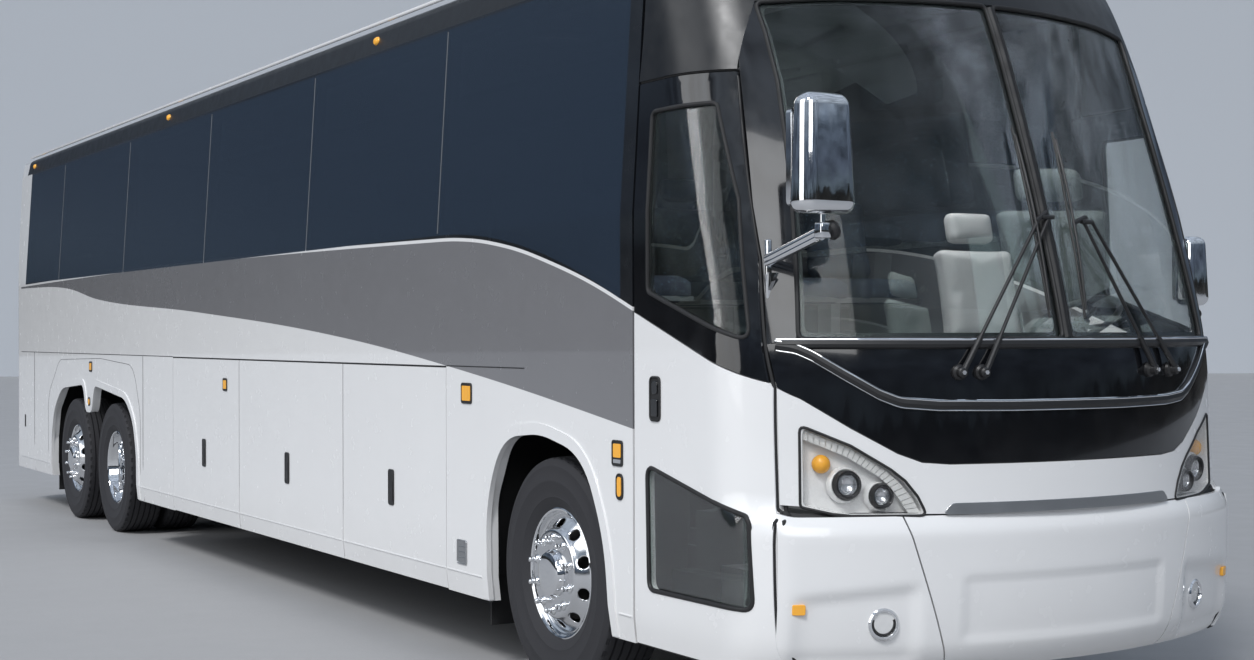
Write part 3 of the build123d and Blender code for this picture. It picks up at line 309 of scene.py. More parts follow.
@dataclass(frozen=True)
class StripedPaint(RoadPaint):
    """Side paint: white with the grey swoosh, its white piping and the black above it."""

    grey: Colour = (0.195, 0.195, 0.205)
    piping: float = 0.017
    band_start: float = -6.352
    curve_start: Point = (-7.0, 1.0)
    curve_size: Point = (13.0, 2.0)
    lower_edge: tuple = ((-5.90, 2.10), (-4.63, 2.065), (-3.41, 1.94), (-0.54, 1.80), (2.06, 1.64),
                         (3.74, 1.48), (5.65, 1.24))
    upper_edge: tuple = ((-6.90, 2.118), (3.55, 2.118), (3.90, 2.108), (4.30, 2.07), (4.90, 1.955),
                         (5.65, 1.735))

    def curve(self, graph: Graph, points: tuple) -> object:
        """Height of a line along the coach.

        Args:
            graph: The node tree being made.
            points: Stations along x with their heights.

        Returns:
            An output socket, in metres.
        """
        (start, foot), (length, height) = self.curve_start, self.curve_size
        node = graph.add("ShaderNodeFloatCurve")
        line = node.mapping.curves[0]
        while len(line.points) < len(points):
            line.points.new(0.5, 0.5)
        for knot, (x, z) in zip(line.points, points):
            knot.location = ((x - start) / length, (z - foot) / height)
        node.mapping.update()
        along = graph.sum("DIVIDE", graph.sum("SUBTRACT", graph.axis(0), start), length)
        graph.join(along, node.inputs["Value"])
        return graph.sum("ADD", graph.sum("MULTIPLY", node.outputs[0], height), foot)

    def colour_of(self, graph: Graph) -> object:
        """White paint under the grey band.

        Args:
            graph: The node tree being made.

        Returns:
            An output socket.
        """
        white = super().colour_of(graph)
        height = graph.axis(2)
        upper = self.curve(graph, self.upper_edge)
        over = graph.step(graph.sum("SUBTRACT", height, self.curve(graph, self.lower_edge)))
        under = graph.step(graph.sum("SUBTRACT", upper, height))
        grey = graph.blend(graph.noise(2.0), self.grey, tuple(c * 0.92 for c in self.grey))
        striped = graph.blend(graph.sum("MULTIPLY", over, under), white, grey)
        above = graph.step(graph.sum("SUBTRACT", graph.sum("SUBTRACT", height, upper), self.piping))
        ahead = graph.step(graph.sum("SUBTRACT", graph.axis(0), self.band_start))
        return graph.blend(graph.sum("MULTIPLY", above, ahead), striped, BLACK)


@dataclass(frozen=True)
class TwoTone(Finish):
    """One colour below a height and another above it."""

    above: Colour = (0.80, 0.81, 0.82)
    height: float = 3.388

    def colour_of(self, graph: Graph) -> object:
        """The lower and upper colours.

        Args:
            graph: The node tree being made.

        Returns:
            An output socket.
        """
        low = super().colour_of(graph)
        over = graph.sum("SUBTRACT", graph.axis(2), self.height)
        return graph.blend(graph.step(over), low, self.above)


@dataclass(frozen=True)
class Brushed(Finish):
    """Metal with fine lines."""

    line_scale: float = 60.0
    line_stretch: tuple = (1.0, 1.0, 14.0)

    def colour_of(self, graph: Graph) -> object:
        """Metal colour with faint lines."""
        lines = graph.noise(self.line_scale, 4.0, self.line_stretch)
        return graph.blend(lines, self.colour, self.shade)


@dataclass(frozen=True)
class Weave(Finish):
    """Woven seat cloth with a small pattern."""

    fleck: Colour = (0.10, 0.16, 0.24)
    fleck_scale: float = 45.0
    fleck_size: float = 0.22

    def colour_of(self, graph: Graph) -> object:
        """Cloth colour with flecks.

        Args:
            graph: The node tree being made.

        Returns:
            An output socket.
        """
        base = super().colour_of(graph)
        cells = graph.add("ShaderNodeTexVoronoi")
        cells.inputs["Scale"].default_value = self.fleck_scale
        graph.join(graph.place, cells.inputs["Vector"])
        near = graph.sum("LESS_THAN", cells.outputs["Distance"], self.fleck_size)
        return graph.blend(near, base, self.fleck)


PAINT = {"colour": (0.82, 0.82, 0.82), "shade": (0.79, 0.79, 0.792), "roughness": 0.24, "spread": 0.04,
         "coat": 0.8, "depth": 0.0}
WHITE = RoadPaint("white_paint", **PAINT)
STRIPES = StripedPaint("striped_paint", **PAINT)
ROOF = TwoTone("roof_paint", BLACK, (0.009, 0.010, 0.012), 0.34, 0.05, depth=0.0)
GLOSS_BLACK = Finish("gloss_black", (0.004, 0.0045, 0.006), (0.006, 0.0065, 0.008), 0.10, 0.03, coat=0.8,
                     depth=0.0, slot="trim_black")
SATIN_BLACK = Finish("satin_black", (0.012, 0.012, 0.013), (0.02, 0.02, 0.021), 0.42, 0.08, grain=900.0,
                     slot="trim_black")
SEAL = Finish("rubber_seal", (0.008, 0.008, 0.009), (0.015, 0.015, 0.016), 0.6, 0.1, grain=700.0,
              slot="flap_rubber")
TINTED = Finish("tinted_glass", (0.003, 0.005, 0.008), (0.005, 0.007, 0.010), 0.02, 0.01, coat=1.0,
                patch=1.2, grain=0.8, depth=0.0003, slot="tinted_glass")
CLEAR = Finish("screen_glass", (0.60, 0.86, 0.80), (0.56, 0.83, 0.77), 0.0, 0.0, transmission=1.0, coat=0.5,
               alpha=0.30, depth=0.0, slot="clear_glass")
LENS = Finish("lamp_glass", (0.95, 0.96, 0.97), (0.92, 0.93, 0.94), 0.0, 0.0, transmission=1.0, alpha=0.22,
              coat=1.0, depth=0.0, slot="lamp_lens")
AMBER = Finish("amber_lens", (0.90, 0.30, 0.012), (0.80, 0.24, 0.01), 0.12, 0.04, coat=1.0, glow=0.12,
               patch=40.0, grain=160.0, depth=0.0012, slot="amber_lens")
RED = Finish("red_lens", (0.55, 0.012, 0.012), (0.45, 0.01, 0.01), 0.14, 0.04, coat=1.0, glow=0.05,
             patch=40.0, grain=160.0, depth=0.0012, slot="red_lens")
CHROME = Finish("chrome", (0.86, 0.87, 0.88), (0.80, 0.81, 0.83), 0.05, 0.03, metallic=1.0, patch=6.0,
                grain=40.0, depth=0.00008, slot="mirror_chrome")
ALLOY = Brushed("polished_alloy", (0.80, 0.81, 0.82), (0.70, 0.71, 0.73), 0.14, 0.05, metallic=1.0,
                grain=260.0, depth=0.00006, slot="wheel_alloy")
STEEL = Brushed("brushed_strip", (0.52, 0.53, 0.54), (0.44, 0.45, 0.46), 0.34, 0.06, metallic=1.0,
                grain=500.0, depth=0.0001, slot="arm_steel")
TYRE = Finish("tyre_rubber", (0.011, 0.011, 0.012), (0.019, 0.019, 0.019), 0.58, 0.1, patch=9.0, grain=300.0,
              depth=0.0003, slot="tyre_rubber")
UNDER = Finish("underbody_paint", (0.018, 0.018, 0.019), (0.035, 0.033, 0.030), 0.6, 0.1, grain=120.0,
               depth=0.0006, slot="underbody_paint")
IRON = Finish("cast_iron", (0.06, 0.06, 0.062), (0.09, 0.08, 0.07), 0.6, 0.1, metallic=0.6, grain=160.0,
              depth=0.001, slot="engine_iron")
DASH = Finish("dash_plastic", (0.30, 0.31, 0.32), (0.34, 0.35, 0.36), 0.55, 0.08, grain=400.0,
              depth=0.0002, slot="dash_plastic")
VINYL = Finish("floor_vinyl", (0.08, 0.082, 0.086), (0.11, 0.112, 0.115), 0.5, 0.1, grain=500.0,
               depth=0.0003, slot="floor_covering")
GLASS_SEAM = Finish("pane_seam", (0.085, 0.092, 0.10), (0.11, 0.115, 0.12), 0.35, 0.08, grain=500.0,
                    slot="flap_rubber")
CLOTH = Weave("seat_cloth", (0.035, 0.045, 0.065), (0.05, 0.06, 0.085), 0.85, 0.08, grain=1400.0,
              depth=0.0007, slot="seat_fabric")
LEATHER = Finish("seat_leather", (0.42, 0.42, 0.43), (0.48, 0.48, 0.485), 0.5, 0.08, patch=12.0, grain=160.0,
                 depth=0.0006, slot="seat_fabric")
HOUSING = Finish("lamp_housing", (0.84, 0.84, 0.83), (0.76, 0.76, 0.75), 0.26, 0.08, coat=0.6, patch=30.0,
                 depth=0.0, slot="lamp_lens")
LED = Finish("led_strip", (0.80, 0.80, 0.78), (0.60, 0.60, 0.58), 0.18, 0.06, coat=1.0, patch=140.0,
             grain=180.0, depth=0.002, slot="lamp_lens")


# Shapes


def spaced(points: Sequence, step: float, closed: bool = False) -> list[Vector]:
    """Points along a line of straight runs, no further apart than a step.

    Args:
        points: Corners of the line.
        step: Largest distance between two points.
        closed: Join the last corner to the first.

    Returns:
        The denser points.
    """
    corners = [Vector(p) for p in points]
    if closed:
        corners.append(corners[0])
    dense = []
    for start, end in zip(corners, corners[1:]):
        count = max(1, math.ceil((end - start).length / step))
        dense += [start.lerp(end, i / count) for i in range(count)]
    return dense if closed else dense + [corners[-1]]


def rounded(points: Sequence[Point], radius: float | Sequence[float], segments: int = 6,
            closed: bool = True) -> Outline:
    """Outline with its corners turned to arcs.

    Args:
        points: Corners.
        radius: Largest arc radius, or one for each corner.
        segments: Chords to an arc.
        closed: Whether the outline is closed, or else its two ends stay sharp.

    Returns:
        The rounded outline.
    """
    count = len(points)
    made = []
    for i, point in enumerate(points):
        here = Vector(point)
        back = Vector(points[i - 1]) - here
        ahead = Vector(points[(i + 1) % count]) - here
        if not closed and i in (0, count - 1) or back.angle(ahead) > NEARLY_STRAIGHT:
            made.append(tuple(here))
            continue
        turn = radius if isinstance(radius, float) else radius[i]
        reach = min(turn / math.tan(back.angle(ahead) / 2), CORNER_SHARE * back.length,
                    CORNER_SHARE * ahead.length)
        first = here + back.normalized() * reach
        last = here + ahead.normalized() * reach
        for k in range(segments + 1):
            t = k / segments
            made.append(tuple(first.lerp(here, t).lerp(here.lerp(last, t), t)))
    return made


def rectangle(low: Point, high: Point) -> Outline:
    """Corners of an upright rectangle, from its lowest corner on."""
    return [low, (high[0], low[1]), high, (low[0], high[1])]


def flipped(points: Sequence[Point], sign: int) -> Outline:
    """Outline with its first coordinate times a sign."""
    return [(sign * u, v) for u, v in points]


def mirrored(points: Sequence[Point]) -> Outline:
    """Outline of the right-hand half, followed by its mirror image."""
    return [tuple(p) for p in points] + flipped(points[::-1], -1)


def meshes(*names: str) -> dict[str, Mesh]:
    """Empty mesh under each name."""
    return {name: bmesh.new() for name in names}


def lathe(profile: Sequence[Point], steps: int = 64, closed: bool = True) -> Mesh:
    """Ring of revolution about the y axis.

    Args:
        profile: Points of radius and place along y.
        steps: Segments round the ring.
        closed: Join the profile's last point to its first.

    Returns:
        The mesh.
    """
    shape = bmesh.new()
    verts = [shape.verts.new((r, y, 0.0)) for r, y in profile]
    edges = [shape.edges.new(pair) for pair in zip(verts, verts[1:])]
    if closed:
        edges.append(shape.edges.new((verts[-1], verts[0])))
    bmesh.ops.spin(shape, geom=verts + edges, cent=(0, 0, 0), axis=(0, 1, 0), dvec=(0, 0, 0),
                   angle=math.tau, steps=steps, use_merge=True, use_duplicate=False)
    bmesh.ops.remove_doubles(shape, verts=shape.verts, dist=1e-5)
    bmesh.ops.recalc_face_normals(shape, faces=shape.faces)
    return shape


def box(low: Sequence[float], high: Sequence[float], bevel: float = 0.0, segments: int = 2) -> Mesh:
    """Block between two corners, with its edges eased.

    Args:
        low: Lowest corner.
        high: Highest corner.
        bevel: Width of the eased edges.
        segments: Facets of each eased edge.

    Returns:
        The mesh.
    """
    shape = bmesh.new()
    bmesh.ops.create_cube(shape, size=1.0)
    size = Vector(high) - Vector(low)
    bmesh.ops.scale(shape, vec=size, verts=shape.verts)
    bmesh.ops.translate(shape, vec=(Vector(high) + Vector(low)) / 2, verts=shape.verts)
    if bevel:
        bmesh.ops.bevel(shape, geom=shape.edges[:], offset=bevel, segments=segments, profile=0.5,
                        affect="EDGES", material=-1)
    return shape


def add_to(target: Mesh, part: Mesh, place: Optional[Matrix] = None) -> None:
    """Copy one mesh into another.

    Args:
        target: Mesh that grows.
        part: Mesh that is copied and freed.
        place: Where the copy goes.
    """
    if place is not None:
        bmesh.ops.transform(part, matrix=place, verts=part.verts)
        if place.determinant() < 0:
            bmesh.ops.reverse_faces(part, faces=part.faces)
    holder = bpy.data.meshes.new("part")
    part.to_mesh(holder)
    part.free()
    target.from_mesh(holder)
    bpy.data.meshes.remove(holder)


def tube(points: Sequence, radius: float, closed: bool = False, sides: int = 3) -> Mesh:
    """Round rod or moulding along a line.

    Args:
        points: Points of the line.
        radius: Radius of the rod.
        closed: Whether the line comes back to its start.
        sides: Bevel resolution of the rod.

    Returns:
        The mesh.
    """
    curve = bpy.data.curves.new("rod", "CURVE")
    curve.dimensions = "3D"
    curve.bevel_depth = radius
    curve.bevel_resolution = sides
    curve.use_fill_caps = not closed
    line = curve.splines.new("POLY")
    line.points.add(len(points) - 1)
    for knot, point in zip(line.points, points):
        knot.co = (*point, 1.0)
    line.use_cyclic_u = closed
    holder = bpy.data.objects.new("rod", curve)
    mesh = bpy.data.meshes.new_from_object(holder)
    shape = bmesh.new()
    shape.from_mesh(mesh)
    for item, store in ((holder, bpy.data.objects), (curve, bpy.data.curves), (mesh, bpy.data.meshes)):
        store.remove(item)
    bmesh.ops.remove_doubles(shape, verts=shape.verts, dist=WELD)
    return shape


def prism(corners: Sequence, along: Sequence[float]) -> Mesh:
    """Solid of a flat face moved along a line.

    Args:
        corners: Corners of the face, in space.
        along: How far and where it moves.

    Returns:
        The mesh.
    """
    shape = bmesh.new()
    face = shape.faces.new([shape.verts.new(corner) for corner in corners])
    made = bmesh.ops.extrude_face_region(shape, geom=[face], use_keep_orig=True)
    ends = [g for g in made["geom"] if isinstance(g, bmesh.types.BMVert)]
    bmesh.ops.translate(shape, vec=along, verts=ends)
    bmesh.ops.recalc_face_normals(shape, faces=shape.faces)
    return shape


Place = Callable[[float, float, float], Vector]


def halves(outline: Sequence[Point], hole: Sequence[Point]) -> list[Outline]:
    """Split an outline with a hole into two outlines on either side of the hole.

    Args:
        outline: Outer corners.
        hole: Corners of the hole.

    Returns:
        The two outlines.
    """
    loops = []
    for points in (outline, hole):
        dense = [tuple(p) for p in spaced(points, HOLE_STEP, True)]
        area = sum(a[0] * b[1] - b[0] * a[1] for a, b in zip(dense, dense[1:] + dense[:1]))
        loops.append(dense if area > 0 else dense[::-1])
    outer, inner = loops
    ends = []
    for pick in (min, max):
        j = pick(range(len(inner)), key=lambda k: inner[k][0])
        i = min(range(len(outer)), key=lambda k: math.dist(outer[k], inner[j]))
        ends.append((i, j))
    (i0, j0), (i1, j1) = ends

    def run(points: Outline, first: int, last: int) -> Outline:
        """Points from one index to another, going round."""
        count = (last - first) % len(points)
        return [points[(first + k) % len(points)] for k in range(count + 1)]

    return [run(outer, i0, i1) + run(inner, j0, j1)[::-1], run(outer, i1, i0) + run(inner, j1, j0)[::-1]]


def panel(outline: Sequence[Point], place: Place, thick: float, step: Point = (0.06, 0.06),
          proud: float = 0.0, dent: Optional[Callable[[float, float], float]] = None,
          hole: Sequence[Point] = ()) -> Mesh:
    """Sheet of an outline, cut to a grid and bent on to a skin, with a thickness inwards.

    Args:
        outline: Corners in the skin's own two coordinates.
        place: The skin: its two coordinates and the distance outwards give a point.
        thick: Thickness inwards.
        step: Grid step along each coordinate.
        proud: How far the sheet's face stands out of the skin.
        dent: Height added to the face at each point.
        hole: Corners of an opening in the sheet.

    Returns:
        The mesh.
    """
    shape = bmesh.new()
    for loop in halves(outline, hole) if hole else [outline]:
        shape.faces.new([shape.verts.new((p[0], p[1], 0.0)) for p in loop])
    bmesh.ops.remove_doubles(shape, verts=shape.verts, dist=WELD)
    for index in (0, 1):
        values = [point[index] for point in outline]
        low, high = min(values), max(values)
        count = max(1, round((high - low) / step[index]))
        normal = Vector((1.0, 0.0, 0.0)) if index == 0 else Vector((0.0, 1.0, 0.0))
        for i in range(1, count):
            geom = shape.verts[:] + shape.edges[:] + shape.faces[:]
            centre = normal * (low + (high - low) * i / count)
            bmesh.ops.bisect_plane(shape, geom=geom, plane_co=centre, plane_no=normal, dist=WELD)
    made = bmesh.ops.extrude_face_region(shape, geom=shape.faces[:], use_keep_orig=True)
    back = [g for g in made["geom"] if isinstance(g, bmesh.types.BMVert)]
    bmesh.ops.translate(shape, vec=(0.0, 0.0, -thick), verts=back)
    for vert in shape.verts:
        u, v, out = vert.co
        rise = proud + (dent(u, v) if dent and out > -thick / 2 else 0.0)
        vert.co = place(u, v, out + rise)
    bmesh.ops.recalc_face_normals(shape, faces=shape.faces)
    return shape


def edging(outline: Sequence[Point], place: Place, radius: float, proud: float = 0.0, closed: bool = True,
           step: float = 0.04) -> Mesh:
    """Rod along an outline on a skin, its middle standing proud of the skin."""
    line = [place(p[0], p[1], proud) for p in spaced([(u, v, 0.0) for u, v in outline], step, closed)]
    return tube(line, radius, closed)


def keep(name: str, shape: Mesh, finish: Finish, body: str = COACH, replaces: Sequence[str] = (),
         bevel: float = 0.0, levels: int = 0, sharp: float = 35.0) -> bpy.types.Object:
    """Make a finished piece of a mesh and let it ride on its body.

    Args:
        name: Piece name.
        shape: Its mesh, which is freed.
        finish: Its finish.
        body: CAD body that carries it.
        replaces: CAD nodes that it stands for.
        bevel: Width of a live bevel on its sharp edges.
        levels: Levels of subdivision.
        sharp: Angle in degrees over which an edge stays sharp.

    Returns:
        The piece.
    """
    limit = math.radians(sharp)
    for face in shape.faces:
        face.smooth = True
    for edge in shape.edges:
        edge.smooth = not (edge.is_manifold and edge.calc_face_angle(0.0) > limit)
    mesh = bpy.data.meshes.new(name)
    shape.to_mesh(mesh)
    shape.free()
    piece = bpy.data.objects.new(name, mesh)
    bpy.context.scene.collection.objects.link(piece)
    mesh.materials.append(finish.make())
    if bevel:
        modifier = piece.modifiers.new("eased", "BEVEL")
        modifier.width = bevel
        modifier.segments = 2
        modifier.limit_method = "ANGLE"
        modifier.angle_limit = BEVEL_ANGLE
        modifier.harden_normals = True
    if levels:
        modifier = piece.modifiers.new("smooth", "SUBSURF")
        modifier.levels = modifier.render_levels = levels
    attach(piece, body)
    if replaces:
        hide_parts(*replaces)
    log.info("%s: %d faces", name, len(mesh.polygons))
    return piece


# Skins

HALF_WIDE = 1.295
SKIRT_Z, WAIST_Z, SHOULDER_Z, ROOF_EDGE_Z = 0.45, 2.15, 3.23, 3.38
SHOULDER_HALF = 1.228
SKIRT_LEAN, SIDE_LEAN, SHOULDER_LEAN = 0.012 / 0.111, 0.067 / 1.08, 0.033 / 0.15
JOIN_UPPER_Z, JOIN_LOWER_Z = 0.934, 0.90
TAIL_X, TAIL_CORNER, TAIL_BOW = -6.92, 0.190, 9.0
CROWN_Z, CROWN_RADIUS = 3.465, 8.44
CAP_END, CAP_RUN, CAP_SPINE_X = 3.9, 0.52, 5.72


@dataclass(frozen=True)
class FrontSkin:
    """The front end's outer skin, from plan outlines at a few heights.

    Along the skin, q runs from the centre line: over the bow, round the corner, then back along the side.
    The columns of its rows are height, nose, bow radius and corner radius.
    """

    rows: tuple
    bow_share: float = 1.03
    corner_share: float = 0.45

    @staticmethod
    def half_width(z: float) -> float:
        """Half width of the body.

        Args:
            z: Height.

        Returns:
            Half width at that height.
        """
        if z <= SKIRT_Z:
            return HALF_WIDE - SKIRT_LEAN * (SKIRT_Z - z)
        if z <= WAIST_Z:
            return HALF_WIDE
        if z <= SHOULDER_Z:
            return HALF_WIDE - SIDE_LEAN * (z - WAIST_Z)
        return SHOULDER_HALF - SHOULDER_LEAN * (z - SHOULDER_Z)

    def row(self, z: float) -> tuple[float, float, float]:
        """Nose, bow radius and corner radius, on a smooth line through the rows.

        Args:
            z: Height.

        Returns:
            The three values.
        """
        rows = self.rows
        if z <= rows[0][0]:
            return rows[0][1:]
        last = len(rows) - 1
        i = next((k for k in range(last) if z <= rows[k + 1][0]), last - 1)
        low, high = rows[i], rows[i + 1]
        before, after = rows[max(0, i - 1)], rows[min(last, i + 2)]
        gap = high[0] - low[0]
        t = (z - low[0]) / gap
        made = []
        for k in (1, 2, 3):
            first = (high[k] - before[k]) / (high[0] - before[0]) * gap
            second = (after[k] - low[k]) / (after[0] - low[0]) * gap
            if t > 1.0:
                made.append(high[k] + (t - 1.0) * (high[k] - low[k]))
                continue
            made.append((2 * t**3 - 3 * t**2 + 1) * low[k] + (t**3 - 2 * t**2 + t) * first
                        + (3 * t**2 - 2 * t**3) * high[k] + (t**3 - t**2) * second)
        return tuple(made)

    def plan(self, z: float) -> tuple[float, ...]:
        """Bow centre, bow radius, corner centre, corner radius and the angle where they meet.

        Args:
            z: Height.

        Returns:
            bow_x, bow, corner_x, corner_y, corner and lean.
        """
        nose, bow, corner = self.row(z)
        bow_x = nose - bow
        corner_y = self.half_width(z) - corner
        corner_x = bow_x + math.sqrt((bow - corner) ** 2 - corner_y**2)
        return bow_x, bow, corner_x, corner_y, corner, math.atan2(corner_y, corner_x - bow_x)

    def at(self, q: float, z: float, out: float = 0.0) -> Vector:
        """Point of the skin.

        Args:
            q: Place along the skin, less than 0 on the right-hand side.
            z: Height.
            out: Distance outwards.

        Returns:
            The point in the row frame.
        """
        bow_x, bow, corner_x, corner_y, corner, lean = self.plan(z)
        along = abs(q)
        side = -1.0 if q < 0 else 1.0
        if along <= self.bow_share:
            angle = lean * along / self.bow_share
            x, y = bow_x + (bow + out) * math.cos(angle), (bow + out) * math.sin(angle)
        elif along <= self.bow_share + self.corner_share:
            angle = lean + (math.pi / 2 - lean) * (along - self.bow_share) / self.corner_share
            x, y = corner_x + (corner + out) * math.cos(angle), corner_y + (corner + out) * math.sin(angle)
        else:
            x, y = corner_x - (along - self.bow_share - self.corner_share), corner_y + corner + out
        return Vector((x, side * y, z))

    def from_y(self, y: float, z: float) -> Point:
        """Skin coordinates of a point given by its place across.

        Args:
            y: Place across.
            z: Height.

        Returns:
            q and z.
        """
        _, bow, _, corner_y, corner, lean = self.plan(z)
        across = abs(y)
        if across <= bow * math.sin(lean):
            q = self.bow_share * math.asin(across / bow) / lean
        else:
            angle = math.asin(min(1.0, (across - corner_y) / corner))
            q = self.bow_share + self.corner_share * (angle - lean) / (math.pi / 2 - lean)
        return (math.copysign(q, y), z)

    def from_x(self, x: float, z: float, side: int = -1) -> Point:
        """Skin coordinates of a point given by its place along the coach.

        Args:
            x: Place along.
            z: Height.
            side: -1 for the right-hand side and 1 for the left.

        Returns:
            q and z.
        """
        _, _, corner_x, _, corner, lean = self.plan(z)
        if x <= corner_x:
            return (side * (self.bow_share + self.corner_share + corner_x - x), z)
        angle = math.acos(min(1.0, (x - corner_x) / corner))
        return (side * (self.bow_share + self.corner_share * (angle - lean) / (math.pi / 2 - lean)), z)

    def across(self, x: float, z: float, out: float = 0.0) -> float:
        """Half width of the skin at a station.

        Args:
            x: Place along.
            z: Height.
            out: Distance outwards.

        Returns:
            Distance from the centre plane.
        """
        bow_x, bow, corner_x, corner_y, corner, lean = self.plan(z)
        if x <= corner_x:
            return corner_y + corner + out
        if x <= corner_x + (corner + out) * math.cos(lean):
            return corner_y + math.sqrt(max(0.0, (corner + out) ** 2 - (x - corner_x) ** 2))
        return math.sqrt(max(0.0, (bow + out) ** 2 - (x - bow_x) ** 2))


UPPER = FrontSkin((
    (0.934, 6.905, 2.0, 0.350), (1.380, 6.885, 2.0, 0.350), (1.620, 6.860, 2.0, 0.350),
    (2.150, 6.715, 2.0, 0.360), (2.700, 6.525, 2.0, 0.380), (3.010, 6.395, 2.0, 0.400),
    (3.230, 6.270, 2.0, 0.410), (3.380, 6.120, 2.0, 0.400), (3.470, 5.960, 2.0, 0.380),
))
LOWER = FrontSkin((
    (0.339, 6.850, 2.4, 0.290), (0.450, 6.900, 2.4, 0.300), (0.850, 6.920, 2.4, 0.300),
    (0.934, 6.908, 2.4, 0.300),
))


def smooth_step(low: float, high: float, value: float) -> float:
    """Smooth rise from 0 at one limit to 1 at another."""
    t = min(1.0, max(0.0, (value - low) / (high - low)))
    return t * t * (3 - 2 * t)


@dataclass(frozen=True)
class SideFront:
    """The side of the front end as a height field over x and z, with the swage above the bumper."""

    side: int
    swage_tall: float = 0.035

    @staticmethod
    def swage(x: float) -> float:
        """Height of the swage line at a place along the coach."""
        return 1.085 - 0.13 * smooth_step(5.70, 6.60, x)

    def at(self, x: float, z: float, out: float = 0.0) -> Vector:
        """Point of the side skin.

        Args:
            x: Place along.
            z: Height.
            out: Distance outwards.

        Returns:
            The point in the row frame.
        """
        line = self.swage(x)
        upper = UPPER.across(x, max(z, JOIN_UPPER_Z), out)
        lower = LOWER.across(x, min(z, JOIN_LOWER_Z), out)
        share = smooth_step(line - self.swage_tall, line, z)
        return Vector((x, self.side * (lower + (upper - lower) * share), z))


def flat_side(side: int) -> Place:
    """Skin of the long side over x and z.

    Args:
        side: -1 for the right-hand side and 1 for the left.

    Returns:
        The skin.
    """
    def at(x: float, z: float, out: float = 0.0) -> Vector:
        """Point of the side."""
        return Vector((x, side * (FrontSkin.half_width(z) + out), z))
    return at


def tail_skin(y: float, z: float, out: float = 0.0) -> Vector:
    """Point of the tail over y and z.

    Args:
        y: Place across.
        z: Height.
        out: Distance outwards.

    Returns:
        The point in the row frame.
    """
    corner_y = HALF_WIDE - TAIL_CORNER
    bow_x = TAIL_X + TAIL_BOW
    corner_x = bow_x - math.sqrt((TAIL_BOW - TAIL_CORNER) ** 2 - corner_y**2)
    if abs(y) > corner_y:
        reach = math.sqrt(max(0.0, TAIL_CORNER**2 - (abs(y) - corner_y) ** 2))
        return Vector((corner_x - reach - out, y, z))
    return Vector((bow_x - math.sqrt(TAIL_BOW**2 - y**2) - out, y, z))


def stand(place: Place, u: float, v: float, out: float = 0.0) -> Matrix:
    """Frame on a skin, with its z axis outwards and its y axis up the skin.

    Args:
        place: The skin.
        u: First coordinate.
        v: Second coordinate.
        out: Distance outwards.

    Returns:
        The frame's matrix.
    """
    here = place(u, v, out)
    normal = (place(u, v, out + 0.01) - here).normalized()
    up = place(u, v + 0.005, out) - place(u, v - 0.005, out)
    up = (up - normal * up.dot(normal)).normalized()
    side = up.cross(normal)
    return Matrix.Translation(here) @ Matrix((side, up, normal)).transposed().to_4x4()


def turned(profile: Sequence[Point], steps: int = 32, closed: bool = False) -> Mesh:
    """Round piece about the z axis.

    Args:
        profile: Points of radius and height.
        steps: Segments round it.
        closed: Join the last point to the first.

    Returns:
        The mesh.
    """
    shape = lathe(profile, steps, closed)
    upright = Matrix.Rotation(math.radians(90), 3, "X")
    bmesh.ops.rotate(shape, verts=shape.verts, cent=(0, 0, 0), matrix=upright)
    return shape


# Front end

BLACK_LINE = ((-1.085, 1.389), (-0.922, 1.275), (-0.760, 1.178), (-0.670, 1.143), (-0.560, 1.134))
LAMP = ((-1.092, 1.290), (-1.096, 0.977), (-0.990, 0.950), (-0.929, 0.943), (-0.656, 0.941), (-0.690, 1.015),
        (-0.735, 1.075), (-0.785, 1.118), (-0.923, 1.210))
LAMP_CORNER = 0.018


def on_skin(points: Sequence[Point], by_x: bool = False) -> Outline:
    """Right-hand points of the front skin, given across or along the coach, as q and z."""
    return [UPPER.from_x(*point) if by_x else UPPER.from_y(*point) for point in points]


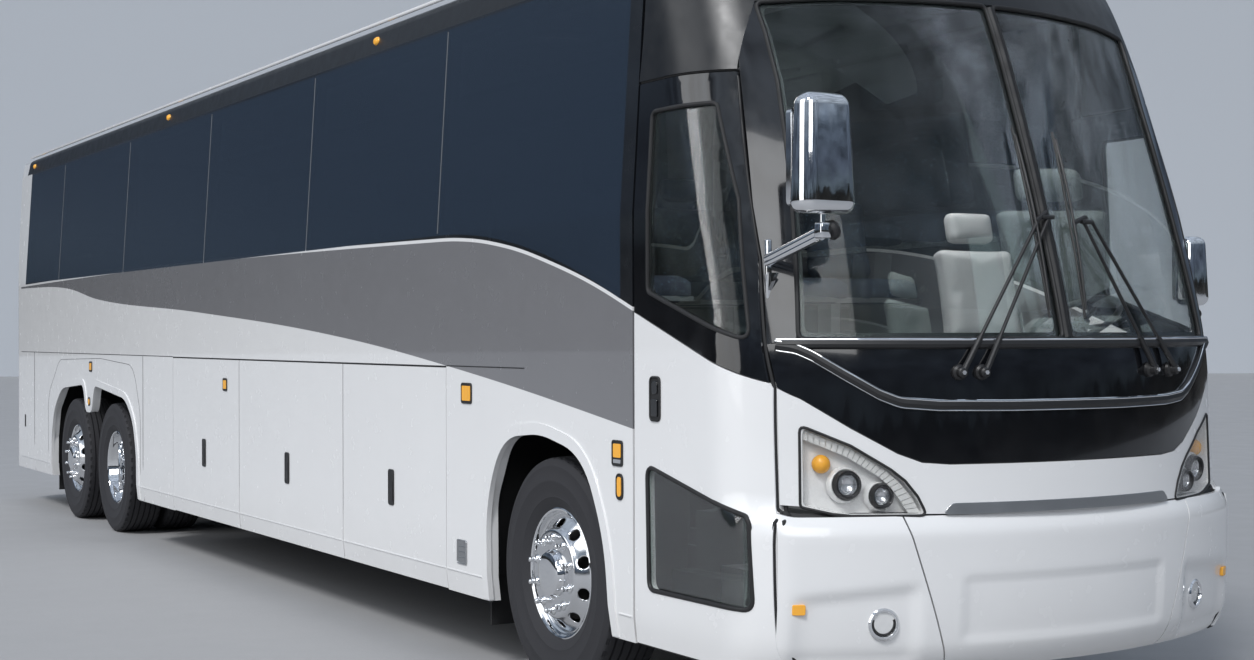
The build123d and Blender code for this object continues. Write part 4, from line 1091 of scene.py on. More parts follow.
@dataclass
class FrontShell:
    """Painted nose, black mask with the windscreen, brow, and mouldings."""

    thick: float = 0.03
    seam: Point = (-0.4, 0.945)
    door_edge: float = 6.522
    door_gap: float = 0.010
    door_z: float = 0.985
    mask_gap: float = 0.004
    screen_gap: float = 0.006
    brow_gap: float = 0.006
    screen_low: float = 1.617
    pane_middle: float = 2.31
    pane_tall: float = 1.39
    pane_corner: float = 0.03
    border: float = 0.05
    black_start: tuple = ((6.512, 1.431),)
    screen: tuple = ((-1.080, 1.617), (-1.052, 1.90), (-1.028, 2.150), (-1.008, 2.40), (-0.992, 2.650),
                     (-0.996, 2.85), (-1.005, 2.985))
    pane_top: tuple = ((-0.70, 3.004), (-0.30, 3.012), (-0.016, 3.014))
    pillar: tuple = ((6.476, 1.60), (6.412, 1.930), (6.190, 2.690), (6.172, 2.745))
    brow_side: tuple = ((5.310, 3.225), (5.645, 3.225), (5.645, 2.702), (6.180, 2.702), (6.172, 2.745))
    brow_front: tuple = ((-1.005, 2.985), (-0.70, 3.004), (-0.30, 3.014))
    post_levels: tuple = (1.62, 1.9, 2.2, 2.5, 2.8, 3.0)
    ledge_start: tuple = ((6.500, 1.600),)
    ledge: tuple = ((-1.0, 1.600), (-0.5, 1.598), (-0.05, 1.598))
    shield_start: tuple = ((6.498, 1.596),)
    shield: tuple = ((-1.095, 1.585), (-1.04, 1.555), (-0.93, 1.478), (-0.82, 1.408), (-0.745, 1.376),
                     (-0.60, 1.364), (-0.30, 1.360))

    def build(self) -> None:
        """Make all pieces of the shell."""
        self.nose()
        self.mask()
        self.cap()
        self.screens()
        self.mouldings()

    def black_line(self) -> Outline:
        """Lower edge of the black mask on the right, from the door inwards."""
        return on_skin(self.black_start, True) + on_skin(BLACK_LINE)

    def nose(self) -> None:
        """White panel between the black mask and the bumper, with the headlamps' openings."""
        lamp = rounded(on_skin(LAMP), LAMP_CORNER, 4)
        corner = UPPER.from_y(*LAMP[1])
        start = min(range(len(lamp)), key=lambda k: math.dist(lamp[k], corner))
        loop = lamp[start:] + lamp[:start]
        if loop[1][1] < loop[-1][1]:
            loop = loop[:1] + loop[1:][::-1]
        stop = max(range(len(loop)), key=lambda k: loop[k][0] - 4 * abs(loop[k][1] - self.seam[1]))
        low = [UPPER.from_x(self.door_edge + self.door_gap, self.door_z)] + loop[: stop + 1] + [self.seam]
        top = self.black_line()
        outline = mirrored(low) + flipped(top, -1) + top[::-1]
        keep("nose_panel", panel(outline, UPPER.at, self.thick, (0.05, 0.05)), WHITE,
             replaces=["front_mask"], bevel=0.004)

    def mask(self) -> None:
        """Gloss black panel under the windscreen and the two pillars."""
        line = [(u, v + self.mask_gap) for u, v in self.black_line()]
        foot = on_skin(self.pillar[:1], True) + [UPPER.from_y(self.screen[0][0], self.screen_low - 0.008)]
        shape = panel(mirrored(line)[::-1] + mirrored(foot), UPPER.at, self.thick)
        outer = on_skin(self.pillar, True)
        inner = [(u - self.screen_gap, v) for u, v in on_skin(self.screen)]
        for sign in (1, -1):
            ring = flipped(outer + inner[::-1], sign)
            add_to(shape, panel(ring, UPPER.at, self.thick, (0.03, 0.06)))
        keep("black_mask", shape, GLOSS_BLACK, bevel=0.003)

    @staticmethod
    def cap_skin(q: float, v: float, out: float = 0.0) -> Vector:
        """Brow and roof cap: the front skin that turns over into the roof's crown.

        Args:
            q: Place along the skin.
            v: Height, and past the roof's edge the way in over the roof.
            out: Distance outwards.

        Returns:
            The point.
        """
        level = min(v, ROOF_EDGE_Z)
        here = UPPER.at(q, level, out)
        if v > ROOF_EDGE_Z:
            spine = Vector((min(here.x, CAP_SPINE_X), 0.0))
            flat = here.xy.lerp(spine, (v - ROOF_EDGE_Z) / CAP_RUN)
            low, high = ROOF_EDGE_Z, 5.0
            for _ in range(22):
                level = (low + high) / 2
                inside = flat.x < UPPER.plan(level)[2] + 5.0 and abs(flat.y) < UPPER.across(flat.x, level)
                inside = inside and flat.x < UPPER.row(level)[0]
                low, high = (level, high) if inside else (low, level)
            here = Vector((flat.x, flat.y, level))
        crown = CROWN_Z - (CROWN_RADIUS - math.sqrt(CROWN_RADIUS**2 - here.y**2))
        soft = 0.07 + 0.13 * smooth_step(5.4, 6.0, here.x)
        share = max(soft - abs(level - crown), 0.0) / soft
        here.z = min(level, crown) - share * share * soft / 4 + (out if v > ROOF_EDGE_Z else 0.0)
        return here

    def cap(self) -> None:
        """Brow over the windscreen and the doors, up to the roof."""
        low = on_skin(self.brow_side, True)
        screen = [(u, v + self.brow_gap) for u, v in on_skin(self.brow_front)]
        outline = mirrored(low + screen) + [(-low[0][0], CAP_END), (low[0][0], CAP_END)]
        shape = panel(outline, self.cap_skin, self.thick, (0.06, 0.03))
        bmesh.ops.remove_doubles(shape, verts=shape.verts, dist=0.002)
        keep("roof_cap", shape, ROOF)

    def screens(self) -> None:
        """Two panes, their black borders and seals, and the centre post."""
        parts = meshes("glass", "frit", "seal")
        half = [(self.pane_top[-1][0], self.screen_low)] + on_skin(self.screen) + list(self.pane_top)
        for sign in (1, -1):
            pane = rounded(flipped(half, sign), self.pane_corner)
            low, high = min(p[0] for p in pane), max(p[0] for p in pane)
            middle = Vector(((low + high) / 2, self.pane_middle))
            wide, tall = 1 - self.border / (high - low), 1 - self.border / self.pane_tall
            border = [(middle.x + (u - middle.x) * wide, middle.y + (v - middle.y) * tall) for u, v in pane]
            add_to(parts["glass"], panel(pane, UPPER.at, 0.007, (0.05, 0.07), -0.008))
            add_to(parts["frit"], panel(pane, UPPER.at, 0.002, (0.05, 0.07), -0.0155, hole=border))
            add_to(parts["seal"], edging(pane, UPPER.at, 0.010, -0.002))
        add_to(parts["seal"], tube([UPPER.at(0.0, z, -0.004) for z in self.post_levels], 0.021))
        keep("windscreen_panes", parts["glass"], CLEAR, replaces=["windscreen"])
        keep("windscreen_border", parts["frit"], SATIN_BLACK)
        keep("windscreen_seal", parts["seal"], SEAL)

    def mouldings(self) -> None:
        """Two dark mouldings with bright lines below the windscreen."""
        ledge = mirrored(on_skin(self.ledge_start, True) + on_skin(self.ledge))
        shield = mirrored(on_skin(self.shield_start, True) + on_skin(self.shield))
        shield = rounded(shield, 0.12, 6, False)
        dark, bright = bmesh.new(), bmesh.new()
        for line, radius, proud in ((ledge, 0.021, -0.002), (shield, 0.023, -0.004)):
            add_to(dark, edging(line, UPPER.at, radius, proud, False))
        for line, lift, radius, proud in ((ledge, 0.018, 0.0055, 0.012), (shield, 0.017, 0.0055, 0.012),
                                          (shield, -0.020, 0.0035, 0.006)):
            add_to(bright, edging([(u, v + lift) for u, v in line], UPPER.at, radius, proud, False))
        keep("mask_mouldings", dark, SATIN_BLACK)
        keep("mask_bright_lines", bright, CHROME)


# Columns: name, finish, then each turned profile with its steps and whether it closes
FOG_FORMS = (
    ("rings", CHROME, ((((0.046, -0.010), (0.046, 0.004), (0.050, 0.011), (0.056, 0.011), (0.062, 0.004),
                         (0.062, -0.010)), 40, True),)),
    ("bowls", ALLOY, ((((0.0, -0.014), (0.018, -0.013), (0.032, -0.008), (0.038, -0.001)), 40, False),)),
    ("bezels", SATIN_BLACK, (
        (((0.036, -0.002), (0.039, 0.001), (0.047, 0.001), (0.047, -0.006)), 40, False),
        (((0.0, -0.003), (0.008, -0.003), (0.011, -0.007), (0.011, -0.016)), 20, False))),
    ("glass", LENS, ((((0.0, 0.009), (0.020, 0.008), (0.036, 0.005), (0.046, 0.001), (0.046, -0.003),
                       (0.0, 0.004)), 40, True),)),
)


@dataclass
class Bumper:
    """Front bumper in three segments, with its recess, scoops, fog lamps and strip."""

    low: float = 0.342
    lip: float = 0.085
    lip_depth: float = 0.022
    foot_depth: float = 0.012
    foot_tall: float = 0.05
    recess_depth: float = 0.009
    scoop_depth: float = 0.018
    thick: float = 0.02
    arch: Point = (6.578, 0.6)
    fog: Point = (-0.740, 0.530)
    marker: tuple = ((-1.160, 0.572), (-1.115, 0.612))
    marker_z: float = 0.59
    middle: tuple = ((-0.497, 0.0), (0.497, 0.0), (0.655, 0.93), (0.665, 1.0), (-0.665, 1.0), (-0.655, 0.93))
    corner: tuple = ((-0.503, 0.0), (-0.661, 0.93), (-0.671, 1.0))
    nose_strip: tuple = ((-0.515, 0.943), (0.515, 0.943), (0.478, 0.987), (-0.478, 0.987))

    @staticmethod
    def seam(q: float) -> float:
        """Height of the bumper's top edge at a place along the skin."""
        return 0.940 + 0.045 * smooth_step(1.02, 1.34, abs(q))

    def skin(self, q: float, share: float, out: float = 0.0) -> Vector:
        """Bumper surface, from its low edge at 0 to its seam at 1.

        Args:
            q: Place along.
            share: Place between the edges.
            out: Distance outwards.

        Returns:
            The point.
        """
        top, along = self.seam(q), abs(q)
        z = self.low + share * (top - self.low)
        lip = max(0.0, 1 - (top - z) / self.lip)
        foot = max(0.0, 1 - (z - self.low) / self.foot_tall)
        rise = -0.001 - self.lip_depth * lip * lip - self.foot_depth * foot**2
        recess = smooth_step(0.455, 0.475, z) * (1 - smooth_step(0.69, 0.71, z))
        recess *= 1 - smooth_step(0.44, 0.46, along)
        scoop = smooth_step(0.355, 0.40, z) * (1 - smooth_step(0.62, 0.68, z + 0.10 * (along - 0.80)))
        scoop *= smooth_step(0.60, 0.66, along) * (1 - smooth_step(0.98, 1.10, along))
        rise -= self.recess_depth * recess + self.scoop_depth * scoop
        return LOWER.at(q, z, out + rise)

    def build(self) -> None:
        """Make the bumper and what it carries."""
        end = LOWER.from_x(*self.arch)[0]
        white = panel(self.middle, self.skin, self.thick, (0.02, 0.03))
        side = [(end, 0.0), *self.corner, (end, 1.0)]
        for sign in (1, -1):
            add_to(white, panel(flipped(side, sign), self.skin, self.thick, (0.02, 0.03)))
        keep("bumper_skin", white, WHITE, replaces=["front_bumper"], bevel=0.003)
        backing = rectangle((end + 0.01, 0.02), (-end - 0.01, 1.02))
        keep("bumper_backing", panel(backing, self.skin, 0.01, (0.06, 0.1), -0.03), SEAL)
        strip = rounded(self.nose_strip, 0.03)
        keep("nose_strip", panel(strip, UPPER.at, 0.01, (0.06, 0.02), 0.006), STEEL, bevel=0.002)
        self.fogs()
        self.markers()

    def fogs(self) -> None:
        """Fog lamps: chrome ring, bowl, bezel and glass."""
        q, z = self.fog
        share = (z - self.low) / (self.seam(q) - self.low)
        for name, finish, forms in FOG_FORMS:
            shape = bmesh.new()
            for sign in (1, -1):
                for profile, steps, closed in forms:
                    add_to(shape, turned(profile, steps, closed), stand(self.skin, sign * q, share))
            keep(f"fog_{name}", shape, finish)

    def markers(self) -> None:
        """Amber lamps at the bumper's corners."""
        low, high = [(LOWER.from_y(y, self.marker_z)[0], z) for y, z in self.marker]
        amber = bmesh.new()
        for sign in (1, -1):
            outline = rounded(flipped(rectangle(low, high), sign), 0.008)
            add_to(amber, panel(outline, LOWER.at, self.thick, (0.03, 0.03), -0.001))
        keep("bumper_markers", amber, AMBER, bevel=0.002)


@dataclass
class Headlamps:
    """Headlamp units: housing, light strip, round lamps, clear lens and gasket."""

    depth: float = 0.055
    cell: float = 0.022
    amber: Point = (-1.022, 1.138)
    projectors: tuple = (((-0.945, 1.056), 0.056), ((-0.824, 1.012), 0.047))
    strip_top: tuple = ((-1.084, 1.272), (-0.923, 1.197), (-0.800, 1.113), (-0.752, 1.068), (-0.708, 1.010),
                        (-0.676, 0.950))
    strip_low: tuple = ((-1.084, 1.236), (-0.935, 1.166), (-0.825, 1.090), (-0.785, 1.050), (-0.748, 0.995),
                        (-0.722, 0.950))

    def build(self) -> None:
        """Make both units."""
        finishes = {"housing": HOUSING, "strip": LED, "amber": AMBER, "bezel": SATIN_BLACK, "bowl": ALLOY,
                    "glass": LENS, "lens": LENS, "gasket": SEAL}
        parts = meshes(*finishes)
        outline = rounded(on_skin(LAMP), LAMP_CORNER, 4)
        grid = (0.04, 0.04)
        for sign in (1, -1):
            shape = flipped(outline, sign)
            add_to(parts["housing"], panel(shape, UPPER.at, 0.01, grid, -self.depth))
            wall = panel(shape, UPPER.at, self.depth, grid, -0.002, hole=self.shrunk(shape, 0.955))
            add_to(parts["housing"], wall)
            add_to(parts["lens"], panel(self.shrunk(shape, 0.985), UPPER.at, 0.004, grid, -0.002))
            add_to(parts["gasket"], edging(shape, UPPER.at, 0.0055, 0.0005))
            self.strip(parts["strip"], sign)
            self.lamps(parts, sign)
        for name, shape in parts.items():
            keep(f"headlamp_{name}", shape, finishes[name],
                 replaces=["headlamps"] if name == "housing" else ())

    @staticmethod
    def shrunk(shape: Sequence[Point], share: float) -> Outline:
        """Outline scaled about its middle.

        Args:
            shape: The outline.
            share: Scale.

        Returns:
            The smaller outline.
        """
        low = Vector((min(p[0] for p in shape), min(p[1] for p in shape)))
        high = Vector((max(p[0] for p in shape), max(p[1] for p in shape)))
        middle = (low + high) / 2
        return [tuple(middle + (Vector(p) - middle) * share) for p in shape]

    def strip(self, target: Mesh, sign: int) -> None:
        """Light strip along the unit's upper edge, in small cells.

        Args:
            target: Mesh that takes it.
            sign: 1 for the right-hand unit and -1 for the left.
        """
        top, low = self.strip_top, self.strip_low
        for a, b, c, d in zip(top, top[1:], low, low[1:]):
            cells = max(1, round(math.dist(a, b) / self.cell))
            for i in range(cells):
                s, e = (i + 0.06) / cells, (i + 0.94) / cells
                ends = ((a, b, s), (a, b, e), (c, d, e), (c, d, s))
                corners = [tuple(Vector(p).lerp(Vector(r), t)) for p, r, t in ends]
                add_to(target, panel(flipped(on_skin(corners), sign), UPPER.at, 0.012, (0.1, 0.1), -0.018))

    def lamps(self, parts: dict[str, Mesh], sign: int) -> None:
        """Amber lamp and the two projectors.

        Args:
            parts: Meshes by name.
            sign: 1 for the right-hand unit and -1 for the left.
        """
        q, z = UPPER.from_y(*self.amber)
        dome = [(0.0, 0.022), (0.016, 0.019), (0.030, 0.009), (0.036, -0.004), (0.036, -0.02)]
        add_to(parts["amber"], turned(dome, 24), stand(UPPER.at, sign * q, z, -0.032))
        for spot, size in self.projectors:
            q, z = UPPER.from_y(*spot)
            outward = stand(UPPER.at, sign * q, z, -self.depth)
            ahead = Matrix.Translation(outward.translation) @ Matrix.Rotation(math.radians(90), 4, "Y")
            place = ahead.lerp(outward, 0.45)
            bezel = [(size * 0.70, 0.030), (size * 0.80, 0.050), (size * 0.93, 0.052), (size, 0.044),
                     (size, 0.0)]
            add_to(parts["bezel"], turned(bezel, 40), place)
            well = [(size * 1.02, 0.020), (size * 1.10, 0.024), (size * 1.22, 0.016), (size * 1.26, -0.004)]
            add_to(parts["housing"], turned(well, 40), place)
            bowl = [(0.0, 0.012), (size * 0.3, 0.013), (size * 0.55, 0.022), (size * 0.74, 0.036)]
            add_to(parts["bowl"], turned(bowl, 40), place)
            lens = [(0.0, 0.046), (size * 0.25, 0.044), (size * 0.46, 0.036), (size * 0.52, 0.026),
                    (0.0, 0.026)]
            add_to(parts["glass"], turned(lens, 32, True), place)
            ring = [(size * 0.52, 0.030), (size * 0.56, 0.034), (size * 0.60, 0.030)]
            add_to(parts["bowl"], turned(ring, 32), place)


@dataclass
class SidePanels:
    """Entrance door on the right, and the fixed driver's side on the left, built of the same shapes."""

    side: int
    thick: float = 0.036
    step: Point = (0.05, 0.05)
    outline: tuple = ((5.655, 0.345), (6.568, 0.345), (6.568, 0.925), (6.522, 0.960), (6.502, 1.431),
                      (6.402, 1.930), (6.180, 2.690), (5.655, 2.690))
    upper_glass: tuple = ((5.763, 1.815), (6.425, 1.612), (6.304, 2.166), (6.150, 2.565), (5.763, 2.565))
    lower_glass: tuple = ((5.756, 1.096), (6.482, 0.935), (6.500, 0.583), (5.770, 0.580))
    black: tuple = ((5.655, 1.735), (6.487, 1.456), (6.402, 1.930), (6.180, 2.690), (5.655, 2.690))
    white: tuple = ((5.655, 0.345), (6.568, 0.345), (6.568, 0.925), (6.522, 0.960), (6.502, 1.431),
                    (6.488, 1.450), (5.655, 1.730))
    middle: Point = (6.03, 1.52)
    inset: float = 0.992
    jamb_front: float = 0.012
    jamb_rear: float = 0.010
    jamb_top: float = 0.010

    def build(self) -> None:
        """Make the panels, glass, gaskets and fittings."""
        right = self.side < 0
        body = "entrance" if right else COACH
        label = "entrance" if right else "driver_side"
        place = SideFront(self.side).at
        upper = rounded(self.upper_glass, 0.035)
        lower = rounded(self.lower_glass, 0.045)
        inner = rounded(self.inner_line(), 0.03, 4)
        keep(f"{label}_upper", panel(self.black, place, self.thick, self.step, hole=upper), GLOSS_BLACK, body,
             ["entry_door"] if right else (), bevel=0.003)
        hole = lower if right else ()
        keep(f"{label}_lower", panel(self.white, place, self.thick, self.step, hole=hole), WHITE, body,
             bevel=0.003)
        glass = panel(upper, place, 0.005, self.step, -0.010)
        seal = edging(upper, place, 0.009, -0.003)
        add_to(seal, edging(upper, place, 0.006, -0.016))
        if right:
            add_to(glass, panel(lower, place, 0.005, self.step, -0.008))
            add_to(seal, edging(lower, place, 0.010, -0.003))
            add_to(seal, edging(inner, place, 0.008, -0.010))
        keep(f"{label}_glass", glass, CLEAR, body, ["entry_door_glass"] if right else ())
        keep(f"{label}_gaskets", seal, SEAL, body)
        top = self.outline[-1][1]
        jamb = [(x + (self.jamb_front if x > self.middle[0] else -self.jamb_rear),
                 z + (self.jamb_top if z == top else 0.0)) for x, z in self.outline]
        keep(f"{label}_jamb", edging(jamb, place, 0.009, -0.016, False), SEAL)
        if right:
            self.fittings(place)

    def inner_line(self) -> Outline:
        """Outline moved a little inwards."""
        middle = Vector(self.middle)
        return [tuple(middle + (Vector(p) - middle) * self.inset) for p in self.outline]

    def fittings(self, place: Place) -> None:
        """Handle in its recess.

        Args:
            place: The door's skin.
        """
        pocket = rounded(rectangle((5.790, 1.284), (5.868, 1.462)), 0.022)
        keep("door_handle_pocket", panel(pocket, place, 0.012, (0.05, 0.05), 0.0025), SATIN_BLACK, "entrance",
             bevel=0.002)
        rim = edging(pocket, place, 0.005, 0.003)
        keep("door_handle_rim", rim, SEAL, "entrance")
        grip = rounded(rectangle((5.803, 1.300), (5.855, 1.372)), 0.010)
        shape = panel(grip, place, 0.012, (0.02, 0.02), 0.010)
        bar = rounded(rectangle((5.806, 1.392), (5.852, 1.446)), 0.018)
        add_to(shape, panel(bar, place, 0.008, (0.02, 0.02), 0.008))
        keep("door_handle_grip", shape, GLOSS_BLACK, "entrance", bevel=0.003)


# Trim of the long sides


def offset(points: Sequence[Point], distance: float, closed: bool = False) -> Outline:
    """Outline moved sideways by a distance, to the left of its run.

    Args:
        points: Points of the outline.
        distance: How far it moves.
        closed: Whether the outline is closed.

    Returns:
        The moved outline.
    """
    moved = []
    count = len(points)
    for i, point in enumerate(points):
        here = Vector(point)
        before = Vector(points[i - 1]) if i or closed else here
        after = Vector(points[(i + 1) % count]) if i < count - 1 or closed else here
        sides = [(b - a).normalized() for a, b in ((before, here), (here, after)) if (b - a).length > 1e-6]
        normals = [Vector((-d.y, d.x)) for d in sides]
        middle = sum(normals, Vector((0.0, 0.0))).normalized()
        moved.append(tuple(here + middle * distance / max(0.5, middle.dot(normals[0]))))
    return moved


class Marker(Enum):
    """Shapes of side lamp: width, height, corner radius and clear strip beneath."""

    WIDE = (0.118, 0.098, 0.014, False)
    SMALL = (0.084, 0.082, 0.012, False)
    STRIP = (0.088, 0.105, 0.012, True)
    ROUND = (0.074, 0.074, 0.037, False)
    OVAL = (0.056, 0.108, 0.027, False)


@dataclass
class SideTrim:
    """Arch lips, seams, latches, lamps and window seams of one long side."""

    side: int
    foot: float = 0.346
    lip: float = 0.055
    proud: float = 0.0068
    belt: float = 1.481
    crease: float = 0.450
    front_arch: tuple = ((4.220, 0.346), (4.210, 0.830), (4.390, 1.150), (4.790, 1.185), (5.210, 1.110),
                         (5.400, 0.750), (5.452, 0.346))
    rear_arch: tuple = ((-2.222, 0.346), (-2.235, 0.700), (-2.330, 0.960), (-2.570, 1.130), (-3.580, 1.215),
                        (-3.680, 0.980), (-3.880, 0.980), (-3.980, 1.215), (-4.790, 1.165), (-5.100, 0.960),
                        (-5.200, 0.700), (-5.218, 0.346))
    panes: tuple = (-4.930, -2.650, -0.450, 1.650, 3.620)
    pane_run: Point = (2.16, 3.205)
    belt_runs: tuple = ((-6.545, -1.225), (3.735, 4.62))
    door_run: Point = (-1.215, 3.725)
    crease_runs: tuple = ((-6.545, -5.29), (-2.165, -1.226), (3.737, 4.150), (5.520, 5.632))
    rear_seam: tuple = ((-2.13, 0.40), (-2.13, 1.02), (-2.33, 1.40), (-3.40, 1.445), (-4.90, 1.42),
                        (-5.36, 1.08), (-5.36, 0.40))
    gutter_line: tuple = (1.1985, 3.404)
    gutter_stations: tuple = (-6.52, -3.0, 0.0, 3.0, 5.29)
    roof_lamps: tuple = (-6.300, -1.600, 2.600, 5.050)
    roof_lamp_z: float = 3.300
    doors: tuple = ((-1.215, 0.345), (0.355, 2.265), (2.275, 3.725))
    latch_x: tuple = (-0.435, 1.310, 3.000)
    frame: float = 0.012
    # Columns: place along, low end, depth of the seam's middle
    uprights: tuple = ((-2.050, 0.346, -0.0012), (-5.950, 0.346, -0.0012), (-1.220, 0.36, -0.004),
                       (0.350, 0.36, -0.004), (2.270, 0.36, -0.004), (3.730, 0.36, -0.004))
    # Columns: place along, height, kind
    lamps: tuple = ((-3.720, 1.372, Marker.SMALL), (0.050, 1.302, Marker.SMALL), (3.980, 1.347, Marker.WIDE),
                    (5.512, 1.132, Marker.STRIP), (-3.780, 1.068, Marker.ROUND), (5.530, 0.990, Marker.OVAL))

    def build(self) -> None:
        """Make all trim of the side."""
        self.place = flat_side(self.side)
        self.label = "right" if self.side < 0 else "left"
        self.arches()
        self.seams()
        self.creases()
        self.latches()
        self.markers()
        self.gutter()

    def arches(self) -> None:
        """Raised lips round the wheel openings."""
        shape = bmesh.new()
        soft = (0.2, 0.5, 0.55, 0.45, 0.10, 0.10, 0.10, 0.12, 0.5, 0.5, 0.5, 0.2)
        for points, radius in ((self.front_arch, 0.85), (self.rear_arch[::-1], soft[::-1])):
            inner = offset(rounded(points, radius, 8, False), -0.003)
            outer = offset(inner, self.lip)
            outer[0], outer[-1] = (outer[0][0], self.foot), (outer[-1][0], self.foot)
            add_to(shape, panel(inner + outer[::-1], self.place, 0.026, (0.12, 0.12), self.proud))
        keep(f"arch_lips_{self.label}", shape, WHITE, bevel=0.004)

    def rod(self, start: Point, end: Point, radius: float, proud: float, step: float = 0.3) -> Mesh:
        """Straight rod between two points of the side, its middle proud of the side."""
        return edging([start, end], self.place, radius, proud, False, step)

    def plate(self, low: Point, high: Point, corner: float, thick: float,
              proud: float) -> tuple[Outline, Mesh]:
        """Outline and mesh of a small flat plate with round corners."""
        outline = rounded(rectangle(low, high), corner)
        return outline, panel(outline, self.place, thick, (0.1, 0.1), proud)

    def seams(self) -> None:
        """Dark lines where panels and panes meet."""
        shape = bmesh.new()
        for low, high in self.belt_runs:
            add_to(shape, self.rod((low, self.belt), (high, self.belt), 0.0032, -0.0012))
        for x, low, sunk in self.uprights:
            add_to(shape, self.rod((x, low), (x, self.belt), 0.0034, sunk))
        start, end = ((x, self.belt - 0.002) for x in self.door_run)
        add_to(shape, self.rod(start, end, 0.004, -0.004))
        arc = rounded(self.rear_seam, 0.30, 8, False)
        add_to(shape, edging(arc, self.place, 0.0022, -0.0008, False, 0.2))
        keep(f"panel_seams_{self.label}", shape, SEAL)
        shape = bmesh.new()
        for x in self.panes:
            low, high = self.pane_run
            add_to(shape, self.rod((x, low), (x, high), 0.0058, -0.0035, 0.5))
        keep(f"pane_seams_{self.label}", shape, GLASS_SEAM)

    def creases(self) -> None:
        """Bright edge where the skirt turns in, on every panel that crosses it."""
        fixed = bmesh.new()
        for low, high in self.crease_runs:
            add_to(fixed, self.rod((low, self.crease), (high, self.crease), 0.006, -0.002))
        keep(f"skirt_crease_{self.label}", fixed, WHITE)
        for number, (low, high) in enumerate(self.doors, 1):
            line = self.rod((low + 0.006, self.crease), (high - 0.006, self.crease), 0.006, -0.002)
            keep(f"door_crease_{self.label}_{number}", line, WHITE, f"luggage_door_{self.label}_{number}")

    def gutter(self) -> None:
        """White drip moulding along the roof's edge, and the small lamps in the black strip below it."""
        y, z = self.gutter_line
        line = [Vector((x, self.side * y, z)) for x in self.gutter_stations]
        keep(f"roof_gutter_{self.label}", tube(line, 0.011), WHITE)
        shape = bmesh.new()
        for x in self.roof_lamps:
            dome = turned([(0.0, 0.018), (0.016, 0.014), (0.024, 0.004), (0.026, -0.004)], 24)
            long = Matrix.Scale(1.5, 4, (1, 0, 0))
            add_to(shape, dome, stand(self.place, x, self.roof_lamp_z) @ long)
        keep(f"roof_markers_{self.label}", shape, AMBER)

    def latches(self) -> None:
        """Black paddle latches of the luggage doors, and the small lids of the sides."""
        for number, x in enumerate(self.latch_x, 1):
            outer, shape = self.plate((x - 0.036, 0.715), (x + 0.036, 0.905), 0.016, 0.010, 0.004)
            add_to(shape, self.plate((x - 0.024, 0.735), (x + 0.024, 0.845), 0.010, 0.004, 0.0068)[1])
            add_to(shape, edging(outer, self.place, 0.003, 0.0035))
            keep(f"latch_{self.label}_{number}", shape, SATIN_BLACK, f"luggage_door_{self.label}_{number}",
                 bevel=0.0015)
        shape = self.plate((-6.385, 0.745), (-6.345, 0.865), 0.010, 0.010, 0.004)[1]
        keep(f"tail_latch_{self.label}", shape, SATIN_BLACK, bevel=0.0015)
        lid, shape = self.plate((3.868, 0.492), (3.976, 0.608), 0.010, 0.010, 0.003)
        add_to(shape, edging(lid, self.place, 0.004, 0.003))
        for z in (0.523, 0.550, 0.577):
            add_to(shape, self.rod((3.884, z), (3.960, z), 0.003, 0.0035, 0.04))
        keep(f"filler_lid_{self.label}", shape, STEEL, bevel=0.0015)

    def markers(self) -> None:
        """Amber side lamps in black frames."""
        parts = meshes("frames", "amber", "clear")
        for x, z, kind in self.lamps:
            width, height, radius, strip = kind.value
            half, tall, inset = width / 2, height / 2, width / 2 - self.frame
            outline = rounded(rectangle((x - half, z - tall), (x + half, z + tall)), radius, 5)
            add_to(parts["frames"], panel(outline, self.place, 0.008, (0.1, 0.1), 0.0035))
            add_to(parts["frames"], edging(outline, self.place, 0.0034, 0.003, step=0.05))
            low = z - tall + (0.034 if strip else self.frame)
            lens = rounded(rectangle((x - inset, low), (x + inset, z + tall - self.frame)),
                           max(0.006, radius - 0.010), 4)
            add_to(parts["amber"], panel(lens, self.place, 0.005, (0.012, 0.012), 0.0066, self.ribs))
            if strip:
                lens = rounded(rectangle((x - inset, z - tall + 0.010), (x + inset, low - 0.008)), 0.004, 3)
                add_to(parts["clear"], panel(lens, self.place, 0.005, (0.05, 0.05), 0.006))
        keep(f"marker_frames_{self.label}", parts["frames"], SATIN_BLACK, bevel=0.0012)
        keep(f"marker_lenses_{self.label}", parts["amber"], AMBER,
             replaces=["marker_lamps"] if self.side < 0 else ())
        keep(f"marker_strips_{self.label}", parts["clear"], CHROME)

    @staticmethod
    def ribs(u: float, v: float) -> float:
        """Height of a lens's fine upright ribs at a point of the side."""
        return 0.0007 * math.sin(u * 700.0)


# Wheels


class Wheel(Enum):
    """Kinds of wheel."""

    STEER = "front"
    DRIVE = "drive"
    TAG = "tag"


